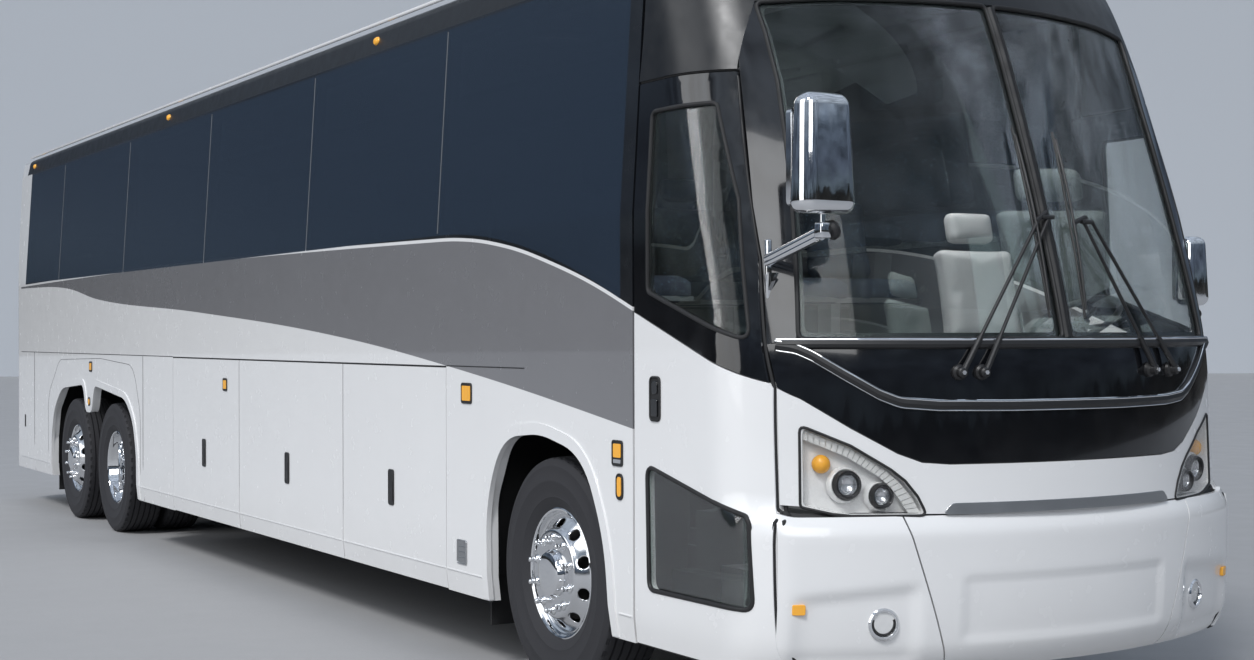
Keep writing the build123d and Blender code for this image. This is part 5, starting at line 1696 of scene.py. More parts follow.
@dataclass
class WheelSet:
    """Tyres and rims of one axle end."""

    kind: Wheel
    side: int
    x: float
    y: float = 1.094
    radius: float = 0.538
    twin: float = 0.345
    holes: int = 10
    lug_ring: float = 0.1675
    hole_radius: float = 0.029
    groove: float = 0.006
    blocks: int = 96
    lug_tall: float = 0.046

    def place(self, inwards: float = 0.0) -> Matrix:
        """Matrix from a wheel at the origin to its place, moved inwards by a distance."""
        return (Matrix.Translation((self.x, self.side * (self.y - inwards), self.radius))
                @ Matrix.Scale(float(self.side), 4, (0, 1, 0)))

    def body(self) -> str:
        """Name of the body that carries it."""
        return f"wheel_{self.kind.value}_{'left' if self.side > 0 else 'right'}"

    def build(self) -> None:
        """Make tyres, rims and hub."""
        hand = "left" if self.side > 0 else "right"
        twin = self.kind is Wheel.DRIVE
        tyres = self.tyre()
        add = self.tyre() if twin else None
        bmesh.ops.transform(tyres, matrix=self.place(), verts=tyres.verts)
        if self.side < 0:
            bmesh.ops.reverse_faces(tyres, faces=tyres.faces)
        if add:
            add_to(tyres, add, self.place(self.twin))
        stem = "tyres" if twin else "tyre"
        name = self.kind.value
        keep(f"{stem}_{name}_{hand}_rubber", tyres, TYRE, self.body(), [f"{stem}_{name}_{hand}"])
        rim = bmesh.new()
        disc = self.dish() if twin else self.disc()
        add_to(rim, disc, self.place())
        rims = f"rims_{name}_{hand}" if twin else f"rim_{name}_{hand}"
        keep(f"{rims}_disc", rim, ALLOY, self.body(), [rims], levels=2)
        metal, dark = bmesh.new(), bmesh.new()
        add_to(metal, self.barrel(), self.place())
        if twin:
            add_to(metal, self.barrel(), self.place(self.twin))
        self.hub(metal, dark)
        keep(f"{rims}_hub", metal, CHROME, self.body())
        keep(f"{rims}_drum", dark, IRON, self.body())

    def tyre(self) -> Mesh:
        """Tyre with grooves and sidewall ribs.

        Returns:
            The mesh.
        """
        half = [(0.302, 0.104), (0.304, 0.118), (0.318, 0.128), (0.345, 0.139), (0.352, 0.143),
                (0.358, 0.142), (0.385, 0.150), (0.420, 0.155), (0.424, 0.1565), (0.430, 0.1565),
                (0.434, 0.155), (0.460, 0.154), (0.488, 0.149), (0.493, 0.1505), (0.500, 0.149),
                (0.512, 0.142), (0.520, 0.140), (0.528, 0.134), (0.5315, 0.126)]
        crown = []
        for centre, deep in ((0.088, 0.014), (0.045, 0.015), (0.0, 0.015)):
            for w, depth in ((centre + self.groove, 0.0), (centre + self.groove * 0.6, deep),
                             (centre - self.groove * 0.6, deep), (centre - self.groove, 0.0)):
                if w > 0:
                    crown.append((self.radius - 0.30 * w * w - depth, w))
        shoulder = half + [(self.radius - 0.30 * 0.118**2, 0.118)] + crown
        shape = lathe(shoulder + [(r, -w) for r, w in reversed(shoulder)], self.blocks)
        cuts = []
        for face in shape.faces:
            centre = face.calc_center_median()
            turn = math.atan2(centre.z, centre.x) / math.tau * self.blocks
            outer = math.hypot(centre.x, centre.z) > self.radius - 0.010 and 0.12 < abs(centre.y) < 0.134
            if outer and int(turn + self.blocks) % 2 == 0:
                cuts.append(face)
        bmesh.ops.inset_individual(shape, faces=cuts, thickness=0.003, depth=-0.004)
        return shape

    def disc(self) -> Mesh:
        """Convex disc with its round hand holes.

        Returns:
            The mesh.
        """
        rows = [(0.294, 0.108), (0.287, 0.101), (0.281, 0.091), (0.275, 0.086), (0.269, 0.088),
                (0.260, 0.096), (0.235, 0.117), (0.212, 0.137), (0.205, 0.150), (0.196, 0.154),
                (0.120, 0.154), (0.100, 0.154)]
        return self.pierced(rows, 5, 7)

    def dish(self) -> Mesh:
        """Deep dish of the outer twin wheel.

        Returns:
            The mesh.
        """
        rows = [(0.294, 0.108), (0.286, 0.100), (0.280, 0.080), (0.272, 0.030), (0.266, -0.030),
                (0.262, -0.075), (0.256, -0.094), (0.247, -0.103), (0.218, -0.111), (0.190, -0.114),
                (0.184, -0.114), (0.150, -0.114), (0.130, -0.114)]
        return self.pierced(rows, 7, 9)

    def pierced(self, rows: Sequence[Point], first: int, last: int) -> Mesh:
        """Turned sheet with a thickness and round hand holes, each cut out of two by two faces.

        Args:
            rows: Profile from the lip inwards.
            first: Row where the holes start.
            last: Row where they end, two rows on.

        Returns:
            The mesh.
        """
        steps = self.holes * 4
        shape = lathe(rows, steps, False)
        middle = Vector(rows[(first + last) // 2])
        slope = (Vector(rows[last]) - Vector(rows[first])).normalized()
        gone, rim = set(), {}
        for vert in shape.verts:
            radial = math.hypot(vert.co.x, vert.co.z)
            row = min(range(len(rows)), key=lambda k: math.dist(rows[k], (radial, vert.co.y)))
            turn = round(math.atan2(vert.co.z, vert.co.x) / math.tau * steps) % steps
            if first <= row <= last and turn % 4:
                rim[vert] = (row - first - 1, turn % 4 - 2, turn // 4)
                if row == first + 1 and turn % 4 == 2:
                    gone.add(vert)
        for vert, (down, round_, sector) in rim.items():
            if vert in gone:
                continue
            lean = math.atan2(down, round_)
            spot = middle + slope * (self.hole_radius * math.sin(lean))
            angle = math.tau * (sector + 0.5) / self.holes + self.hole_radius * math.cos(lean) / middle.x
            vert.co = (spot.x * math.cos(angle), spot.y, spot.x * math.sin(angle))
        bmesh.ops.delete(shape, geom=list(gone), context="VERTS")
        bmesh.ops.recalc_face_normals(shape, faces=shape.faces)
        if sum(face.normal.y for face in shape.faces) < 0:
            bmesh.ops.reverse_faces(shape, faces=shape.faces)
        bmesh.ops.solidify(shape, geom=shape.faces[:], thickness=0.010)
        return shape

    @staticmethod
    def barrel() -> Mesh:
        """Rim barrel with its flanges.

        Returns:
            The mesh.
        """
        profile = [(0.296, 0.106), (0.302, 0.113), (0.3025, 0.119), (0.297, 0.1215), (0.289, 0.118),
                   (0.284, 0.108), (0.281, 0.090), (0.273, 0.060), (0.262, 0.030), (0.262, -0.060),
                   (0.281, -0.090), (0.289, -0.118), (0.3025, -0.119), (0.294, -0.104), (0.290, -0.085),
                   (0.272, -0.055), (0.272, 0.025), (0.284, 0.062), (0.290, 0.085)]
        return lathe(profile, 96)

    def hub(self, metal: Mesh, dark: Mesh) -> None:
        """Hub cap, lug covers and brake drum.

        Args:
            metal: Mesh of bright parts.
            dark: Mesh of dark parts.
        """
        twin = self.kind is Wheel.DRIVE
        base = -0.114 if twin else 0.154
        tall = 0.150 if twin else 0.036
        cap = [(0.112, base - 0.004), (0.112, base + 0.004), (0.106, base + 0.010),
               (0.104, base + tall * 0.55), (0.098, base + tall * 0.80), (0.082, base + tall * 0.95),
               (0.055, base + tall), (0.0, base + tall + 0.002)]
        add_to(metal, lathe(cap, 64, False), self.place())
        long = self.lug_tall
        for i in range(self.holes):
            angle = math.tau * (i + 0.5) / self.holes
            cover = [(0.0, long), (0.006, long - 0.001), (0.0115, long - 0.005), (0.0135, long - 0.011),
                     (0.0135, long - 0.016), (0.0118, long - 0.020), (0.0118, 0.016), (0.0145, 0.010),
                     (0.0205, 0.004), (0.0225, 0.0), (0.0225, -0.003)]
            at = Matrix.Translation((self.lug_ring * math.cos(angle), base, self.lug_ring * math.sin(angle)))
            add_to(metal, lathe(cover, 20, False), self.place() @ at)
        back = -0.28 if twin else -0.15
        front = base - 0.02 if twin else 0.06
        drum = [(0.0, front), (0.190, front), (0.215, front - 0.015), (0.215, back), (0.0, back)]
        add_to(dark, lathe(drum, 64, False), self.place())


# Mirrors and wipers


@dataclass
class Mirrors:
    """Chrome mirror heads on cast arms."""

    def head(self, size: Sequence[float]) -> Mesh:
        """Tapered head with rounded corners.

        Args:
            size: Depth, width and height.

        Returns:
            The mesh, its foot at the origin.
        """
        deep, wide, tall = size
        shape = bmesh.new()
        bmesh.ops.create_cube(shape, size=1.0)
        bmesh.ops.scale(shape, vec=size, verts=shape.verts)
        bmesh.ops.translate(shape, vec=(0.0, 0.0, tall / 2), verts=shape.verts)
        for vert in shape.verts:
            if vert.co.z > tall / 2:
                vert.co.x = vert.co.x * 0.84 - deep * 0.03
                vert.co.y *= 0.86
        bmesh.ops.bevel(shape, geom=shape.edges[:], offset=0.36 * min(deep, wide), segments=6, profile=0.5,
                        affect="EDGES", material=-1)
        return shape

    def build(self) -> None:
        """Make both mirrors."""
        chrome, black, glass = bmesh.new(), bmesh.new(), bmesh.new()
        add_to(chrome, self.head((0.135, 0.255, 0.452)),
               Matrix.Translation((6.790, -1.140, 2.083)) @ Matrix.Rotation(math.radians(4), 4, "Z"))
        add_to(chrome, self.head((0.110, 0.150, 0.320)), Matrix.Translation((6.250, 1.340, 1.765)))
        add_to(glass, box((6.716, -1.245, 2.115), (6.724, -1.035, 2.480), 0.02, 3))
        add_to(glass, box((6.192, 1.285, 1.790), (6.197, 1.395, 2.050), 0.015, 3))
        self.arm(chrome, black, (6.790, -1.140, 2.083), (6.440, -1.150, 1.930), 1.0)
        self.arm(chrome, black, (6.250, 1.345, 1.765), (6.360, 1.225, 1.690), 0.6)
        keep("mirror_heads", chrome, CHROME, replaces=["mirrors"], sharp=50.0)
        keep("mirror_glasses", glass, ALLOY)
        keep("mirror_knobs", black, SATIN_BLACK)

    @staticmethod
    def arm(chrome: Mesh, black: Mesh, head: Sequence[float], foot: Sequence[float], scale: float) -> None:
        """Post, joint block, arm and pillar bracket.

        Args:
            chrome: Mesh of bright parts.
            black: Mesh of dark parts.
            head: Foot of the head.
            foot: Where the arm meets the bracket.
            scale: Size against the large mirror's.
        """
        head, foot = Vector(head), Vector(foot)
        joint = head - Vector((0.0, 0.0, 0.060 * scale))
        add_to(chrome, tube([head + Vector((0, 0, 0.01)), joint], 0.011 * scale))
        half = Vector((0.026, 0.024, 0.030)) * scale
        add_to(chrome, box(joint - half, joint + half, 0.008 * scale, 3))
        along = (foot - joint).normalized()
        for drop, thick in ((0.0, 0.020), (-0.018, 0.017)):
            shift = Vector((0, 0, drop * scale))
            add_to(chrome, tube([joint + along * 0.01 + shift, foot + shift], thick * scale, sides=2))
        top = foot + Vector((0.0, 0.0, 0.075)) * scale
        low = foot - Vector((0.0, 0.0, 0.155)) * scale
        plate = Vector((0.014, 0.012, 0)) * scale
        add_to(chrome, box(low - plate, top + plate, 0.005 * scale))
        side = Vector((0.0, 0.008, 0.0)) * scale
        gusset = ((0.0, -0.055), (0.065, -0.055), (0.0, -0.14))
        corners = [foot + Vector((x, 0.0, z)) * scale - side for x, z in gusset]
        add_to(chrome, prism(corners, side * 2))
        knob = turned([(0.0, 0.034), (0.026, 0.034), (0.036, 0.026), (0.038, 0.010), (0.030, 0.0),
                       (0.0, 0.0)], 32)
        place = (Matrix.Translation(joint + Vector((0.010, 0.022, -0.004)) * scale)
                 @ Matrix.Rotation(math.radians(-68), 4, "X") @ Matrix.Scale(scale, 4))
        add_to(black, knob, place)


@dataclass
class Wipers:
    """Two pantograph wipers: pivots, end of the arms, and top and foot of the blade, across and up."""

    sets: tuple = (
        (((-0.512, 1.489), (-0.420, 1.489)), (-0.017, 2.126), (-0.069, 2.478), (-0.083, 1.700)),
        (((0.484, 1.489), (0.648, 1.487)), (0.194, 2.113), (0.148, 2.470), (0.104, 1.702)),
    )
    boss: tuple = ((0.0, 0.046), (0.014, 0.046), (0.020, 0.040), (0.022, 0.020), (0.030, 0.012), (0.032, 0.0))
    nut: tuple = ((0.0, 0.052), (0.009, 0.052), (0.010, 0.045))
    arm_out: float = 0.036
    tip_out: float = 0.040
    spread: float = 0.022
    parts: int = 12

    @staticmethod
    def at(y: float, z: float, out: float) -> Vector:
        """Point over the screen at a place across and a height."""
        return UPPER.at(*UPPER.from_y(y, z), out)

    def build(self) -> None:
        """Make both wipers."""
        shape, bright = bmesh.new(), bmesh.new()
        for pivots, end, top, low in self.sets:
            tip = self.at(*end, self.tip_out)
            for pivot, aside in zip(pivots, (-self.spread, self.spread)):
                place = stand(UPPER.at, *UPPER.from_y(*pivot))
                add_to(shape, turned(self.boss, 28), place)
                add_to(bright, turned(self.nut, 6), place)
                start = self.at(*pivot, self.arm_out)
                close = start.lerp(tip + Vector((0, aside, 0)), 0.97)
                bend = start.lerp(close, 0.22)
                add_to(shape, tube([start, bend], 0.0125))
                add_to(shape, tube([bend, close], 0.0075))
            ends = [self.at(end[0] + 0.03 * way, end[1] - 0.02, self.tip_out) for way in (-1, 1)]
            add_to(shape, tube(ends, 0.010))
            run = (low[0] - top[0], low[1] - top[1])
            shares = [i / self.parts for i in range(self.parts + 1)]
            line = [self.at(top[0] + run[0] * t, top[1] + run[1] * t, 0.012) for t in shares]
            add_to(shape, tube(line, 0.0055))
            spine = [self.at(top[0] + run[0] * t, top[1] + run[1] * t, 0.020 + 0.014 * math.sin(math.pi * t))
                     for t in [0.04 + 0.92 * i / self.parts for i in range(self.parts + 1)]]
            add_to(shape, tube(spine, 0.0065))
            add_to(shape, tube([tip, spine[self.parts // 2]], 0.010))
        keep("wiper_arms", shape, SATIN_BLACK, replaces=["wipers"])
        keep("wiper_nuts", bright, CHROME)


# Tail


@dataclass
class Tail:
    """Lamps, blank plate, reflectors and engine door fittings at the back."""

    lamp_y: float = 1.040
    lamp_radius: float = 0.054
    levels: tuple = (0.960, 1.140, 1.320)
    small_reds: tuple = ((0.0, 3.050, 0.20), (-0.90, 0.420, 0.05), (0.90, 0.420, 0.05))
    plate: tuple = ((-0.155, 0.450), (0.155, 0.605))
    louvre: tuple = ((-0.645, 0.775), (0.645, 1.290))
    blades: int = 9
    blade_pitch: float = 0.055
    paddles: tuple = (-0.74, 0.74)

    def build(self) -> None:
        """Make everything on the tail."""
        self.lamps()
        self.fittings()
        self.engine_door()

    def lamps(self) -> None:
        """Three round lamps on a black plate on each side, and the high stop lamp."""
        parts = meshes("plate", "ring", "red", "amber", "white")
        for side in (-1, 1):
            y = side * self.lamp_y
            outline = rounded(rectangle((y - 0.075, 0.880), (y + 0.075, 1.400)), 0.05)
            add_to(parts["plate"], panel(outline, tail_skin, 0.012, (0.04, 0.06), 0.008))
            for z, colour in zip(self.levels, ("white", "amber", "red")):
                self.round_lamp(parts[colour], parts["ring"], stand(tail_skin, y, z, 0.008))
        for y, z, half in self.small_reds:
            outline = rounded(rectangle((y - half, z - 0.018), (y + half, z + 0.018)), 0.012)
            add_to(parts["red"], panel(outline, tail_skin, 0.010, (0.05, 0.02), 0.009))
        keep("tail_lamp_plates", parts["plate"], SATIN_BLACK, replaces=["tail_lamps"], bevel=0.002)
        keep("tail_lamp_rings", parts["ring"], CHROME)
        keep("tail_reds", parts["red"], RED)
        keep("tail_ambers", parts["amber"], AMBER)
        keep("tail_whites", parts["white"], LENS)

    def round_lamp(self, lens: Mesh, bright: Mesh, place: Matrix) -> None:
        """Domed lens with three ribs in a bright ring.

        Args:
            lens: Mesh of the lens's colour.
            bright: Mesh of the rings.
            place: Where the lamp stands.
        """
        r = self.lamp_radius
        dome = [(0.0, 0.026), (r * 0.4, 0.024), (r * 0.75, 0.017), (r, 0.004), (r, -0.003)]
        add_to(lens, turned(dome, 40), place)
        ring = [(r, -0.002), (r + 0.001, 0.008), (r + 0.006, 0.010), (r + 0.010, 0.004), (r + 0.010, -0.002)]
        add_to(bright, turned(ring, 40, True), place)
        for step in range(1, 4):
            rib = [(r * step / 4, 0.026 - 0.005 * step), (r * step / 4 + 0.002, 0.029 - 0.005 * step),
                   (r * step / 4 + 0.004, 0.025 - 0.006 * step)]
            add_to(lens, turned(rib, 40), place)

    def fittings(self) -> None:
        """Blank plate in its frame with its lamp, and the seam of cap and bumper."""
        outline = rounded(rectangle(*self.plate), 0.012)
        keep("blank_plate", panel(outline, tail_skin, 0.004, (0.05, 0.05), 0.007), STEEL)
        frame_line = edging(outline, tail_skin, 0.008, 0.004)
        add_to(frame_line, box((-6.935, -0.07, 0.622), (-6.915, 0.07, 0.645), 0.004))
        keep("plate_frame", frame_line, SATIN_BLACK)
        seams = tube([tail_skin(-1.10 + 0.10 * i, 0.680, 0.0005) for i in range(23)], 0.003)
        keep("tail_seam", seams, SEAL)

    def engine_door(self) -> None:
        """Frame around the louvres, blades in them, and two paddle handles."""
        trim = edging(rounded(rectangle(*self.louvre), 0.03), tail_skin, 0.008, 0.002)
        blades = bmesh.new()
        for step in range(self.blades):
            z = 0.800 + self.blade_pitch * step + 0.022
            line = [tail_skin(-0.62 + 0.155 * i, z, 0.004) for i in range(9)]
            add_to(blades, tube(line, 0.005, sides=8))
        add_to(trim, blades)
        for y in self.paddles:
            place = stand(tail_skin, y, 1.440, 0.004)
            add_to(trim, box((-0.035, -0.065, -0.006), (0.035, 0.065, 0.006), 0.008), place)
            add_to(trim, box((-0.018, -0.045, 0.004), (0.018, 0.045, 0.016), 0.006), place)
        keep("engine_door_trim", trim, SATIN_BLACK, "engine_lid", bevel=0.0)


# Cabin

STUFFING_PRESSURE = 4.0
STUFFING_FRAMES = 20


@dataclass
class Cabin:
    """Seats, dashboard and steering wheel behind the windscreen."""

    rows: int = 13
    pitch: float = 0.830
    first_row: float = 4.300
    floor: float = 1.480
    seat_width: float = 0.455
    seat_cell: float = 0.032
    seat_y: tuple = (0.485, 0.950)
    legs_y: float = 0.720
    driver: tuple = (5.865, 0.640, 1.130)
    driver_width: float = 0.500
    driver_cell: float = 0.014
    recline: float = math.radians(-11.5)
    wheel: tuple = (6.228, 0.640, 1.690)
    wheel_lean: float = math.radians(-30)
    rim_radius: float = 0.205
    grip: float = 0.014
    spokes: tuple = (100, 180, 260, 0)

    def build(self) -> None:
        """Make the seats and the driver's controls."""
        self.passengers()
        self.driver_seat()
        self.dashboard()
        self.steering()

    @staticmethod
    def puffed(shape: Mesh, voxel: float, cap: float) -> Mesh:
        """Stuffed form of a block: its mesh blown up as cloth, no further than a cap.

        Args:
            shape: The block, which is freed.
            voxel: Size of the new mesh's cells.
            cap: Largest distance a point may move.

        Returns:
            The stuffed mesh.
        """
        mesh = bpy.data.meshes.new("pad")
        shape.to_mesh(mesh)
        shape.free()
        pad = bpy.data.objects.new("pad", mesh)
        scene = bpy.context.scene
        scene.collection.objects.link(pad)
        remesh = pad.modifiers.new("cells", "REMESH")
        remesh.mode, remesh.voxel_size = "VOXEL", voxel
        holder = bpy.data.meshes.new_from_object(pad.evaluated_get(bpy.context.evaluated_depsgraph_get()))
        pad.modifiers.clear()
        pad.data = holder
        before = [v.co.copy() for v in holder.vertices]
        cloth = pad.modifiers.new("stuffing", "CLOTH")
        cloth.settings.use_pressure = True
        cloth.settings.uniform_pressure_force = STUFFING_PRESSURE
        cloth.settings.effector_weights.gravity = 0.0
        cloth.settings.quality = 4
        for step in range(1, STUFFING_FRAMES + 1):
            scene.frame_set(step)
        blown = pad.evaluated_get(bpy.context.evaluated_depsgraph_get()).data
        for vert, start, end in zip(holder.vertices, before, blown.vertices):
            move = end.co - start
            vert.co = start + move * min(1.0, cap / max(move.length, 1e-9))
        scene.frame_set(1)
        made = bmesh.new()
        made.from_mesh(holder)
        bpy.data.objects.remove(pad)
        bpy.data.meshes.remove(mesh)
        bpy.data.meshes.remove(holder)
        return made

    def seat(self, width: float, voxel: float) -> Mesh:
        """One seat about its reference point: cushion, reclined back and head rest.

        Args:
            width: Width of the seat.
            voxel: Cell size of the stuffed mesh.

        Returns:
            The mesh.
        """
        half = width / 2
        inner = half - 0.02
        seat = self.puffed(box((-0.200, -inner, 0.335), (0.215, inner, 0.435), 0.03), voxel, 0.018)
        back = self.puffed(box((-0.045, -inner, 0.06), (0.045, inner, 0.52), 0.025), voxel, 0.018)
        head = self.puffed(box((-0.040, -0.13, 0.545), (0.035, 0.13, 0.690), 0.025), voxel, 0.012)
        lean = Matrix.Translation((-0.235, 0.0, 0.395)) @ Matrix.Rotation(self.recline, 4, "Y")
        add_to(seat, back, lean)
        add_to(seat, head, lean)
        return seat

    def passengers(self) -> None:
        """Rows of double seats on both sides of the aisle."""
        one = bpy.data.meshes.new("one_seat")
        shape = self.seat(self.seat_width, self.seat_cell)
        shape.to_mesh(one)
        shape.free()
        shape, legs = bmesh.new(), bmesh.new()
        for row in range(self.rows):
            x = self.first_row - row * self.pitch
            for side in (-1, 1):
                for y in self.seat_y:
                    part = bmesh.new()
                    part.from_mesh(one)
                    add_to(shape, part, Matrix.Translation((x, side * y, self.floor)))
                y, z = side * self.legs_y, self.floor
                add_to(legs, box((x - 0.10, y - 0.03, z + 0.002), (x + 0.02, y + 0.03, z + 0.335)))
                add_to(legs, box((x - 0.18, y - 0.44, z + 0.325), (x + 0.19, y + 0.44, z + 0.350)))
        bpy.data.meshes.remove(one)
        seats = keep("passenger_cushions", shape, CLOTH, replaces=["passenger_seats"], sharp=60.0)
        keep("passenger_seat_frames", legs, STEEL)

    def driver_seat(self) -> None:
        """Driver's padded seat on its pedestal."""
        seat = self.seat(self.driver_width, self.driver_cell)
        piece = keep("driver_cushions", seat, LEATHER, replaces=["driver_seat"], sharp=60.0)
        x, y, z = self.driver
        piece.data.transform(Matrix.Translation((x, y, z + 0.01)))
        shape = box((x - 0.20, y - 0.16, z + 0.002), (x + 0.12, y + 0.16, z + 0.10), 0.01)
        add_to(shape, box((x - 0.12, y - 0.07, z + 0.09), (x + 0.04, y + 0.07, z + 0.31), 0.01))
        add_to(shape, box((x - 0.20, y - 0.22, z + 0.30), (x + 0.20, y + 0.22, z + 0.345), 0.01))
        keep("driver_pedestal", shape, SATIN_BLACK)

    @staticmethod
    def dashboard() -> None:
        """Pale dashboard with a dark instrument hood."""
        corners = [(6.335, 1.135), (6.500, 1.135), (6.560, 1.540), (6.480, 1.585), (6.360, 1.560),
                   (6.335, 1.480)]
        face = [(x, -0.690, z) for x, z in rounded(corners, 0.03, 4)]
        shape = prism(face, (0.0, 1.700, 0.0))
        keep("dashboard_shell", shape, DASH, replaces=["dashboard"], bevel=0.008)
        hood = box((6.345, 0.42, 1.535), (6.480, 0.88, 1.592), 0.02, 3)
        keep("instrument_hood", hood, SATIN_BLACK)

    def steering(self) -> None:
        """Steering wheel with its spokes and column."""
        lean = Matrix.Translation(self.wheel) @ Matrix.Rotation(self.wheel_lean, 4, "Y")
        turns = [math.tau * i / 12 for i in range(12)]
        rim = [(self.rim_radius + self.grip * math.cos(t), self.grip * math.sin(t)) for t in turns]
        shape = turned(rim, 56, True)
        bmesh.ops.transform(shape, matrix=lean, verts=shape.verts)
        reach = self.rim_radius - 0.005
        for angle in map(math.radians, self.spokes):
            end = Vector((reach * math.cos(angle), reach * math.sin(angle), 0.0))
            spoke = [Vector((0, 0, -0.025)), end * 0.5 + Vector((0, 0, -0.018)), end]
            add_to(shape, tube(spoke, 0.011), lean)
        boss = turned([(0.0, 0.0), (0.050, -0.004), (0.060, -0.020), (0.045, -0.045), (0.0, -0.050)], 32)
        add_to(shape, boss, lean)
        add_to(shape, tube([Vector((0, 0, -0.04)), Vector((0.01, 0, -0.17))], 0.030), lean)
        keep("steering_rim", shape, SATIN_BLACK, replaces=["steering_wheel"])


# Stage


class Sky(Graph):
    """Node tree of the sky."""

    def __init__(self, scene: bpy.types.Scene) -> None:
        """Start the sky.

        Args:
            scene: Scene that gets it.
        """
        world = bpy.data.worlds.new("sky")
        world.use_nodes = True
        scene.world = world
        self.tree = world.node_tree
        self.place = self.add("ShaderNodeTexCoord").outputs["Generated"]

    def wavy(self, value: object, stretch: tuple, height: float, rest: float) -> object:
        """Value with clouds of noise added to it, as high as given, and a constant."""
        clouds = self.sum("MULTIPLY_ADD", self.noise(1.0, 5.0, stretch), height, rest)
        return self.sum("ADD", clouds, value)


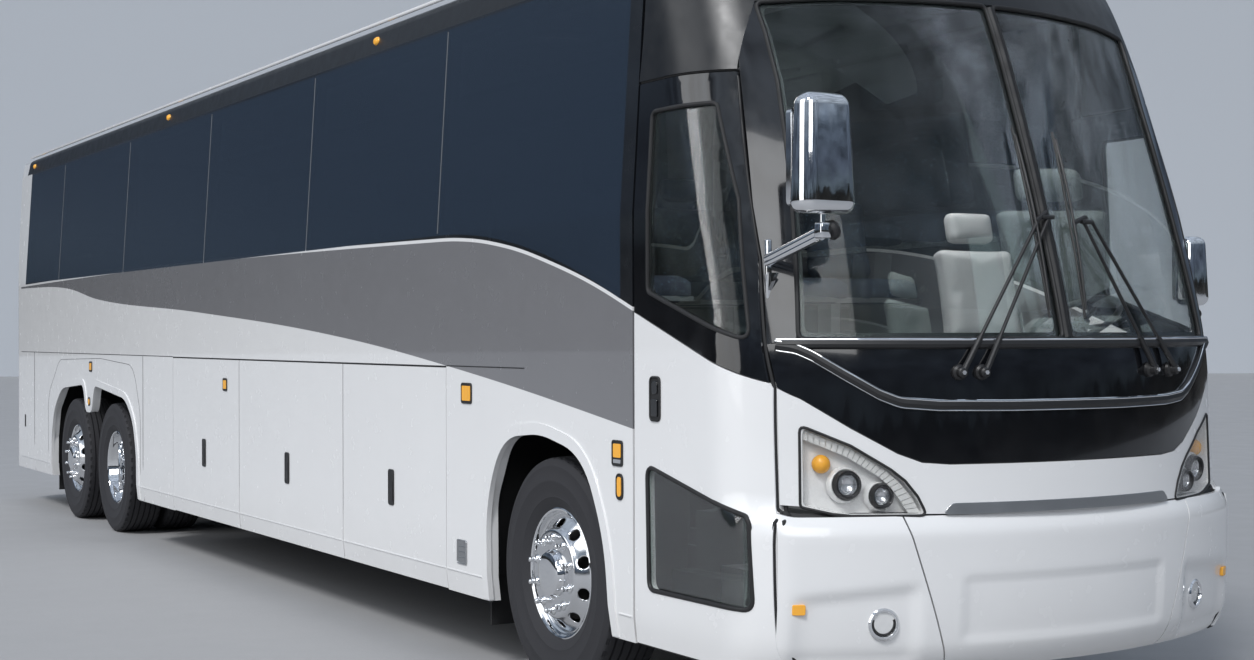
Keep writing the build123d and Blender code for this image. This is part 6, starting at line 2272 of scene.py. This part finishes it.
@dataclass
class Stage:
    """Camera at the photo's angle, pale floor and soft light."""

    eye: tuple = (12.39, -5.17, 1.641)
    lens: float = 53.1
    heading: float = math.radians(29.69)
    upwards: float = math.radians(0.12)
    tilt: float = math.radians(-0.15)
    far: float = 400.0
    floor: Colour = (0.36, 0.36, 0.365)
    floor_size: float = 140.0
    sky: Colour = (0.60, 0.63, 0.67)
    plain_sky: Colour = (0.40, 0.42, 0.45)
    wall: float = 60.0
    wall_middle: tuple = (-52.0, 31.0, 0.0)
    sky_stops: tuple = ((0.0, (0.10, 0.10, 0.10)), (0.49, (0.05, 0.05, 0.05)), (0.524, (0.018, 0.020, 0.021)),
                        (0.528, (0.10, 0.13, 0.16)), (0.56, (0.08, 0.10, 0.14)), (0.61, (0.12, 0.155, 0.21)),
                        (0.73, (0.46, 0.53, 0.62)), (1.0, (0.56, 0.64, 0.78)))

    def build(self) -> None:
        """Make camera, floor, backdrop, lamps and sky."""
        scene = bpy.context.scene
        scene.view_settings.view_transform = "Standard"
        self.camera(scene)
        ground = self.sheet("floor", 2, self.floor_size, Matrix.Identity(4))
        shade = tuple(c * 0.93 for c in self.floor)
        ground.data.materials.append(Finish("pale_floor", self.floor, shade, 0.75, 0.1, patch=0.6, grain=40.0,
                                            depth=0.001).make())
        self.backdrop()
        self.lamp("sun", "SUN", (20, -30, 40), (0, 0, 0), 1.9, angle=math.radians(14))
        self.lamp("key", "AREA", (19.0, -8.0, 9.0), (5.0, 0.0, 1.5), 560.0, size=8.0)
        self.lamp("side", "AREA", (0.0, -17.0, 8.0), (-1.0, 0.0, 1.4), 980.0, size=14.0)
        self.lamp("cabin", "AREA", (5.75, 0.10, 3.12), (6.15, 0.2, 1.4), 40.0, size=1.0)
        hidden = bpy.data.objects["cabin"]
        hidden.visible_camera = hidden.visible_glossy = hidden.visible_transmission = False
        self.world(scene)

    def camera(self, scene: bpy.types.Scene) -> None:
        """Camera where the photograph was taken.

        Args:
            scene: The scene.
        """
        data = bpy.data.cameras.new("photo_camera")
        data.lens, data.sensor_width = self.lens, 36.0
        camera = bpy.data.objects.new("photo_camera", data)
        scene.collection.objects.link(camera)
        aim = Vector((-math.cos(self.heading), math.sin(self.heading), math.tan(self.upwards)))
        turn = aim.to_track_quat("-Z", "Y").to_matrix().to_4x4() @ Matrix.Rotation(self.tilt, 4, "Z")
        camera.matrix_world = Matrix.Translation(self.eye) @ turn
        data.clip_end = self.far
        scene.camera = camera

    @staticmethod
    def sheet(name: str, segments: int, size: float, place: Matrix) -> bpy.types.Object:
        """Flat square of the stage.

        Args:
            name: Its name.
            segments: Faces along each side.
            size: Half of its side.
            place: Where it stands.

        Returns:
            The object.
        """
        shape = bmesh.new()
        bmesh.ops.create_grid(shape, x_segments=segments, y_segments=segments, size=size)
        bmesh.ops.transform(shape, matrix=place, verts=shape.verts)
        mesh = bpy.data.meshes.new(name)
        shape.to_mesh(mesh)
        shape.free()
        made = bpy.data.objects.new(name, mesh)
        bpy.context.scene.collection.objects.link(made)
        return made

    def backdrop(self) -> None:
        """Pale wall far behind the coach."""
        heading = math.radians(90.0) - self.heading
        upright = Matrix.Rotation(heading, 4, "Z") @ Matrix.Rotation(math.radians(90), 4, "X")
        wall = self.sheet("backdrop", 1, self.wall / 2, Matrix.Translation(self.wall_middle) @ upright)
        shade = tuple(c * 0.96 for c in self.sky)
        wall.data.materials.append(Finish("pale_wall", self.sky, shade, 0.9, 0.05, patch=0.05,
                                          depth=0.0).make())

    @staticmethod
    def lamp(name: str, kind: str, place: tuple, aim: tuple, power: float, size: float = 1.0,
             angle: float = 0.1) -> None:
        """Add a lamp.

        Args:
            name: Lamp name.
            kind: Blender's lamp type.
            place: Where it is.
            aim: Point that it faces.
            power: Its power.
            size: Side of an area lamp.
            angle: Width of a sun.
        """
        data = bpy.data.lights.new(name, kind)
        data.energy = power
        if kind == "AREA":
            data.size = size
        else:
            data.angle = angle
        lamp = bpy.data.objects.new(name, data)
        lamp.location = place
        lamp.rotation_euler = (Vector(aim) - Vector(place)).to_track_quat("-Z", "Y").to_euler()
        bpy.context.scene.collection.objects.link(lamp)

    def world(self, scene: bpy.types.Scene) -> None:
        """Cloudy sky with a dark lower half for mirrored rays, and a plain one for camera and glass.

        Args:
            scene: The scene.
        """
        sky = Sky(scene)
        ramp = sky.add("ShaderNodeValToRGB")
        height = sky.sum("MULTIPLY_ADD", sky.axis(2), 0.5, 0.5)
        sky.join(sky.wavy(height, (20.0, 20.0, 4.0), 0.050, -0.025), ramp.inputs[0])
        elements = ramp.color_ramp.elements
        while len(elements) < len(self.sky_stops):
            elements.new(0.5)
        for element, (spot, colour) in zip(elements, self.sky_stops):
            element.position = spot
            element.color = (*colour, 1.0)
        cloudy = sky.tree.nodes["Background"]
        sky.join(ramp.outputs[0], cloudy.inputs[0])
        sky.join(sky.wavy(0.0, (7.0, 7.0, 20.0), 2.6, -0.5), cloudy.inputs[1])
        plain = sky.add("ShaderNodeBackground")
        sky.join(self.plain_sky, plain.inputs[0])
        rays = sky.add("ShaderNodeLightPath").outputs
        seen = sky.sum("ADD", rays["Is Camera Ray"], rays["Is Transmission Ray"], clamp=True)
        mix = sky.add("ShaderNodeMixShader")
        for source, socket in zip((seen, cloudy.outputs[0], plain.outputs[0]), mix.inputs):
            sky.join(source, socket)
        sky.join(mix.outputs[0], sky.tree.nodes["World Output"].inputs[0])


# CAD nodes that keep their shape

NODE_FINISHES = {
    "side_wall_left": STRIPES, "side_wall_right": STRIPES, "side_glass": TINTED, "roof_shell": ROOF,
    "rear_cap": WHITE, "rear_bumper": WHITE, "engine_door": WHITE, "roof_hatch_front": WHITE,
    "roof_hatch_rear": WHITE, "chassis_frame": UNDER, "front_axle": IRON, "rear_axles": IRON,
    "engine_block": IRON, "knuckle_left": IRON, "knuckle_right": IRON, "wheel_housings": SEAL,
    "mudflaps": SEAL, "luggage_floor": VINYL, "luggage_bulkheads": UNDER, "floor_deck": VINYL,
    "front_floor": VINYL, "dashboard": DASH, "steering_wheel": DASH, "driver_seat": CLOTH,
    "passenger_seats": CLOTH, "tail_lamps": RED,
}
STEM_FINISHES = {"bay_arms": STEEL, "bay_door": STRIPES}


def dress_nodes() -> None:
    """Give the CAD nodes that stay their finishes."""
    for name, node in frame["nodes"].items():
        stem = next((stem for stem in STEM_FINISHES if name.startswith(stem)), None)
        finish = NODE_FINISHES.get(name) or STEM_FINISHES.get(stem, WHITE)
        node.data.materials.clear()
        node.data.materials.append(finish.make())


def main() -> None:
    """Build the coach in order."""
    dress_nodes()
    FrontShell().build()
    Bumper().build()
    Headlamps().build()
    for side in (-1, 1):
        SidePanels(side).build()
        SideTrim(side).build()
        for kind, x in ((Wheel.STEER, 4.82), (Wheel.DRIVE, -3.18), (Wheel.TAG, -4.54)):
            WheelSet(kind, side, x).build()
    Mirrors().build()
    Cabin().build()
    Tail().build()
    Wipers().build()
    Stage().build()


if __name__ == "__main__":
    main()
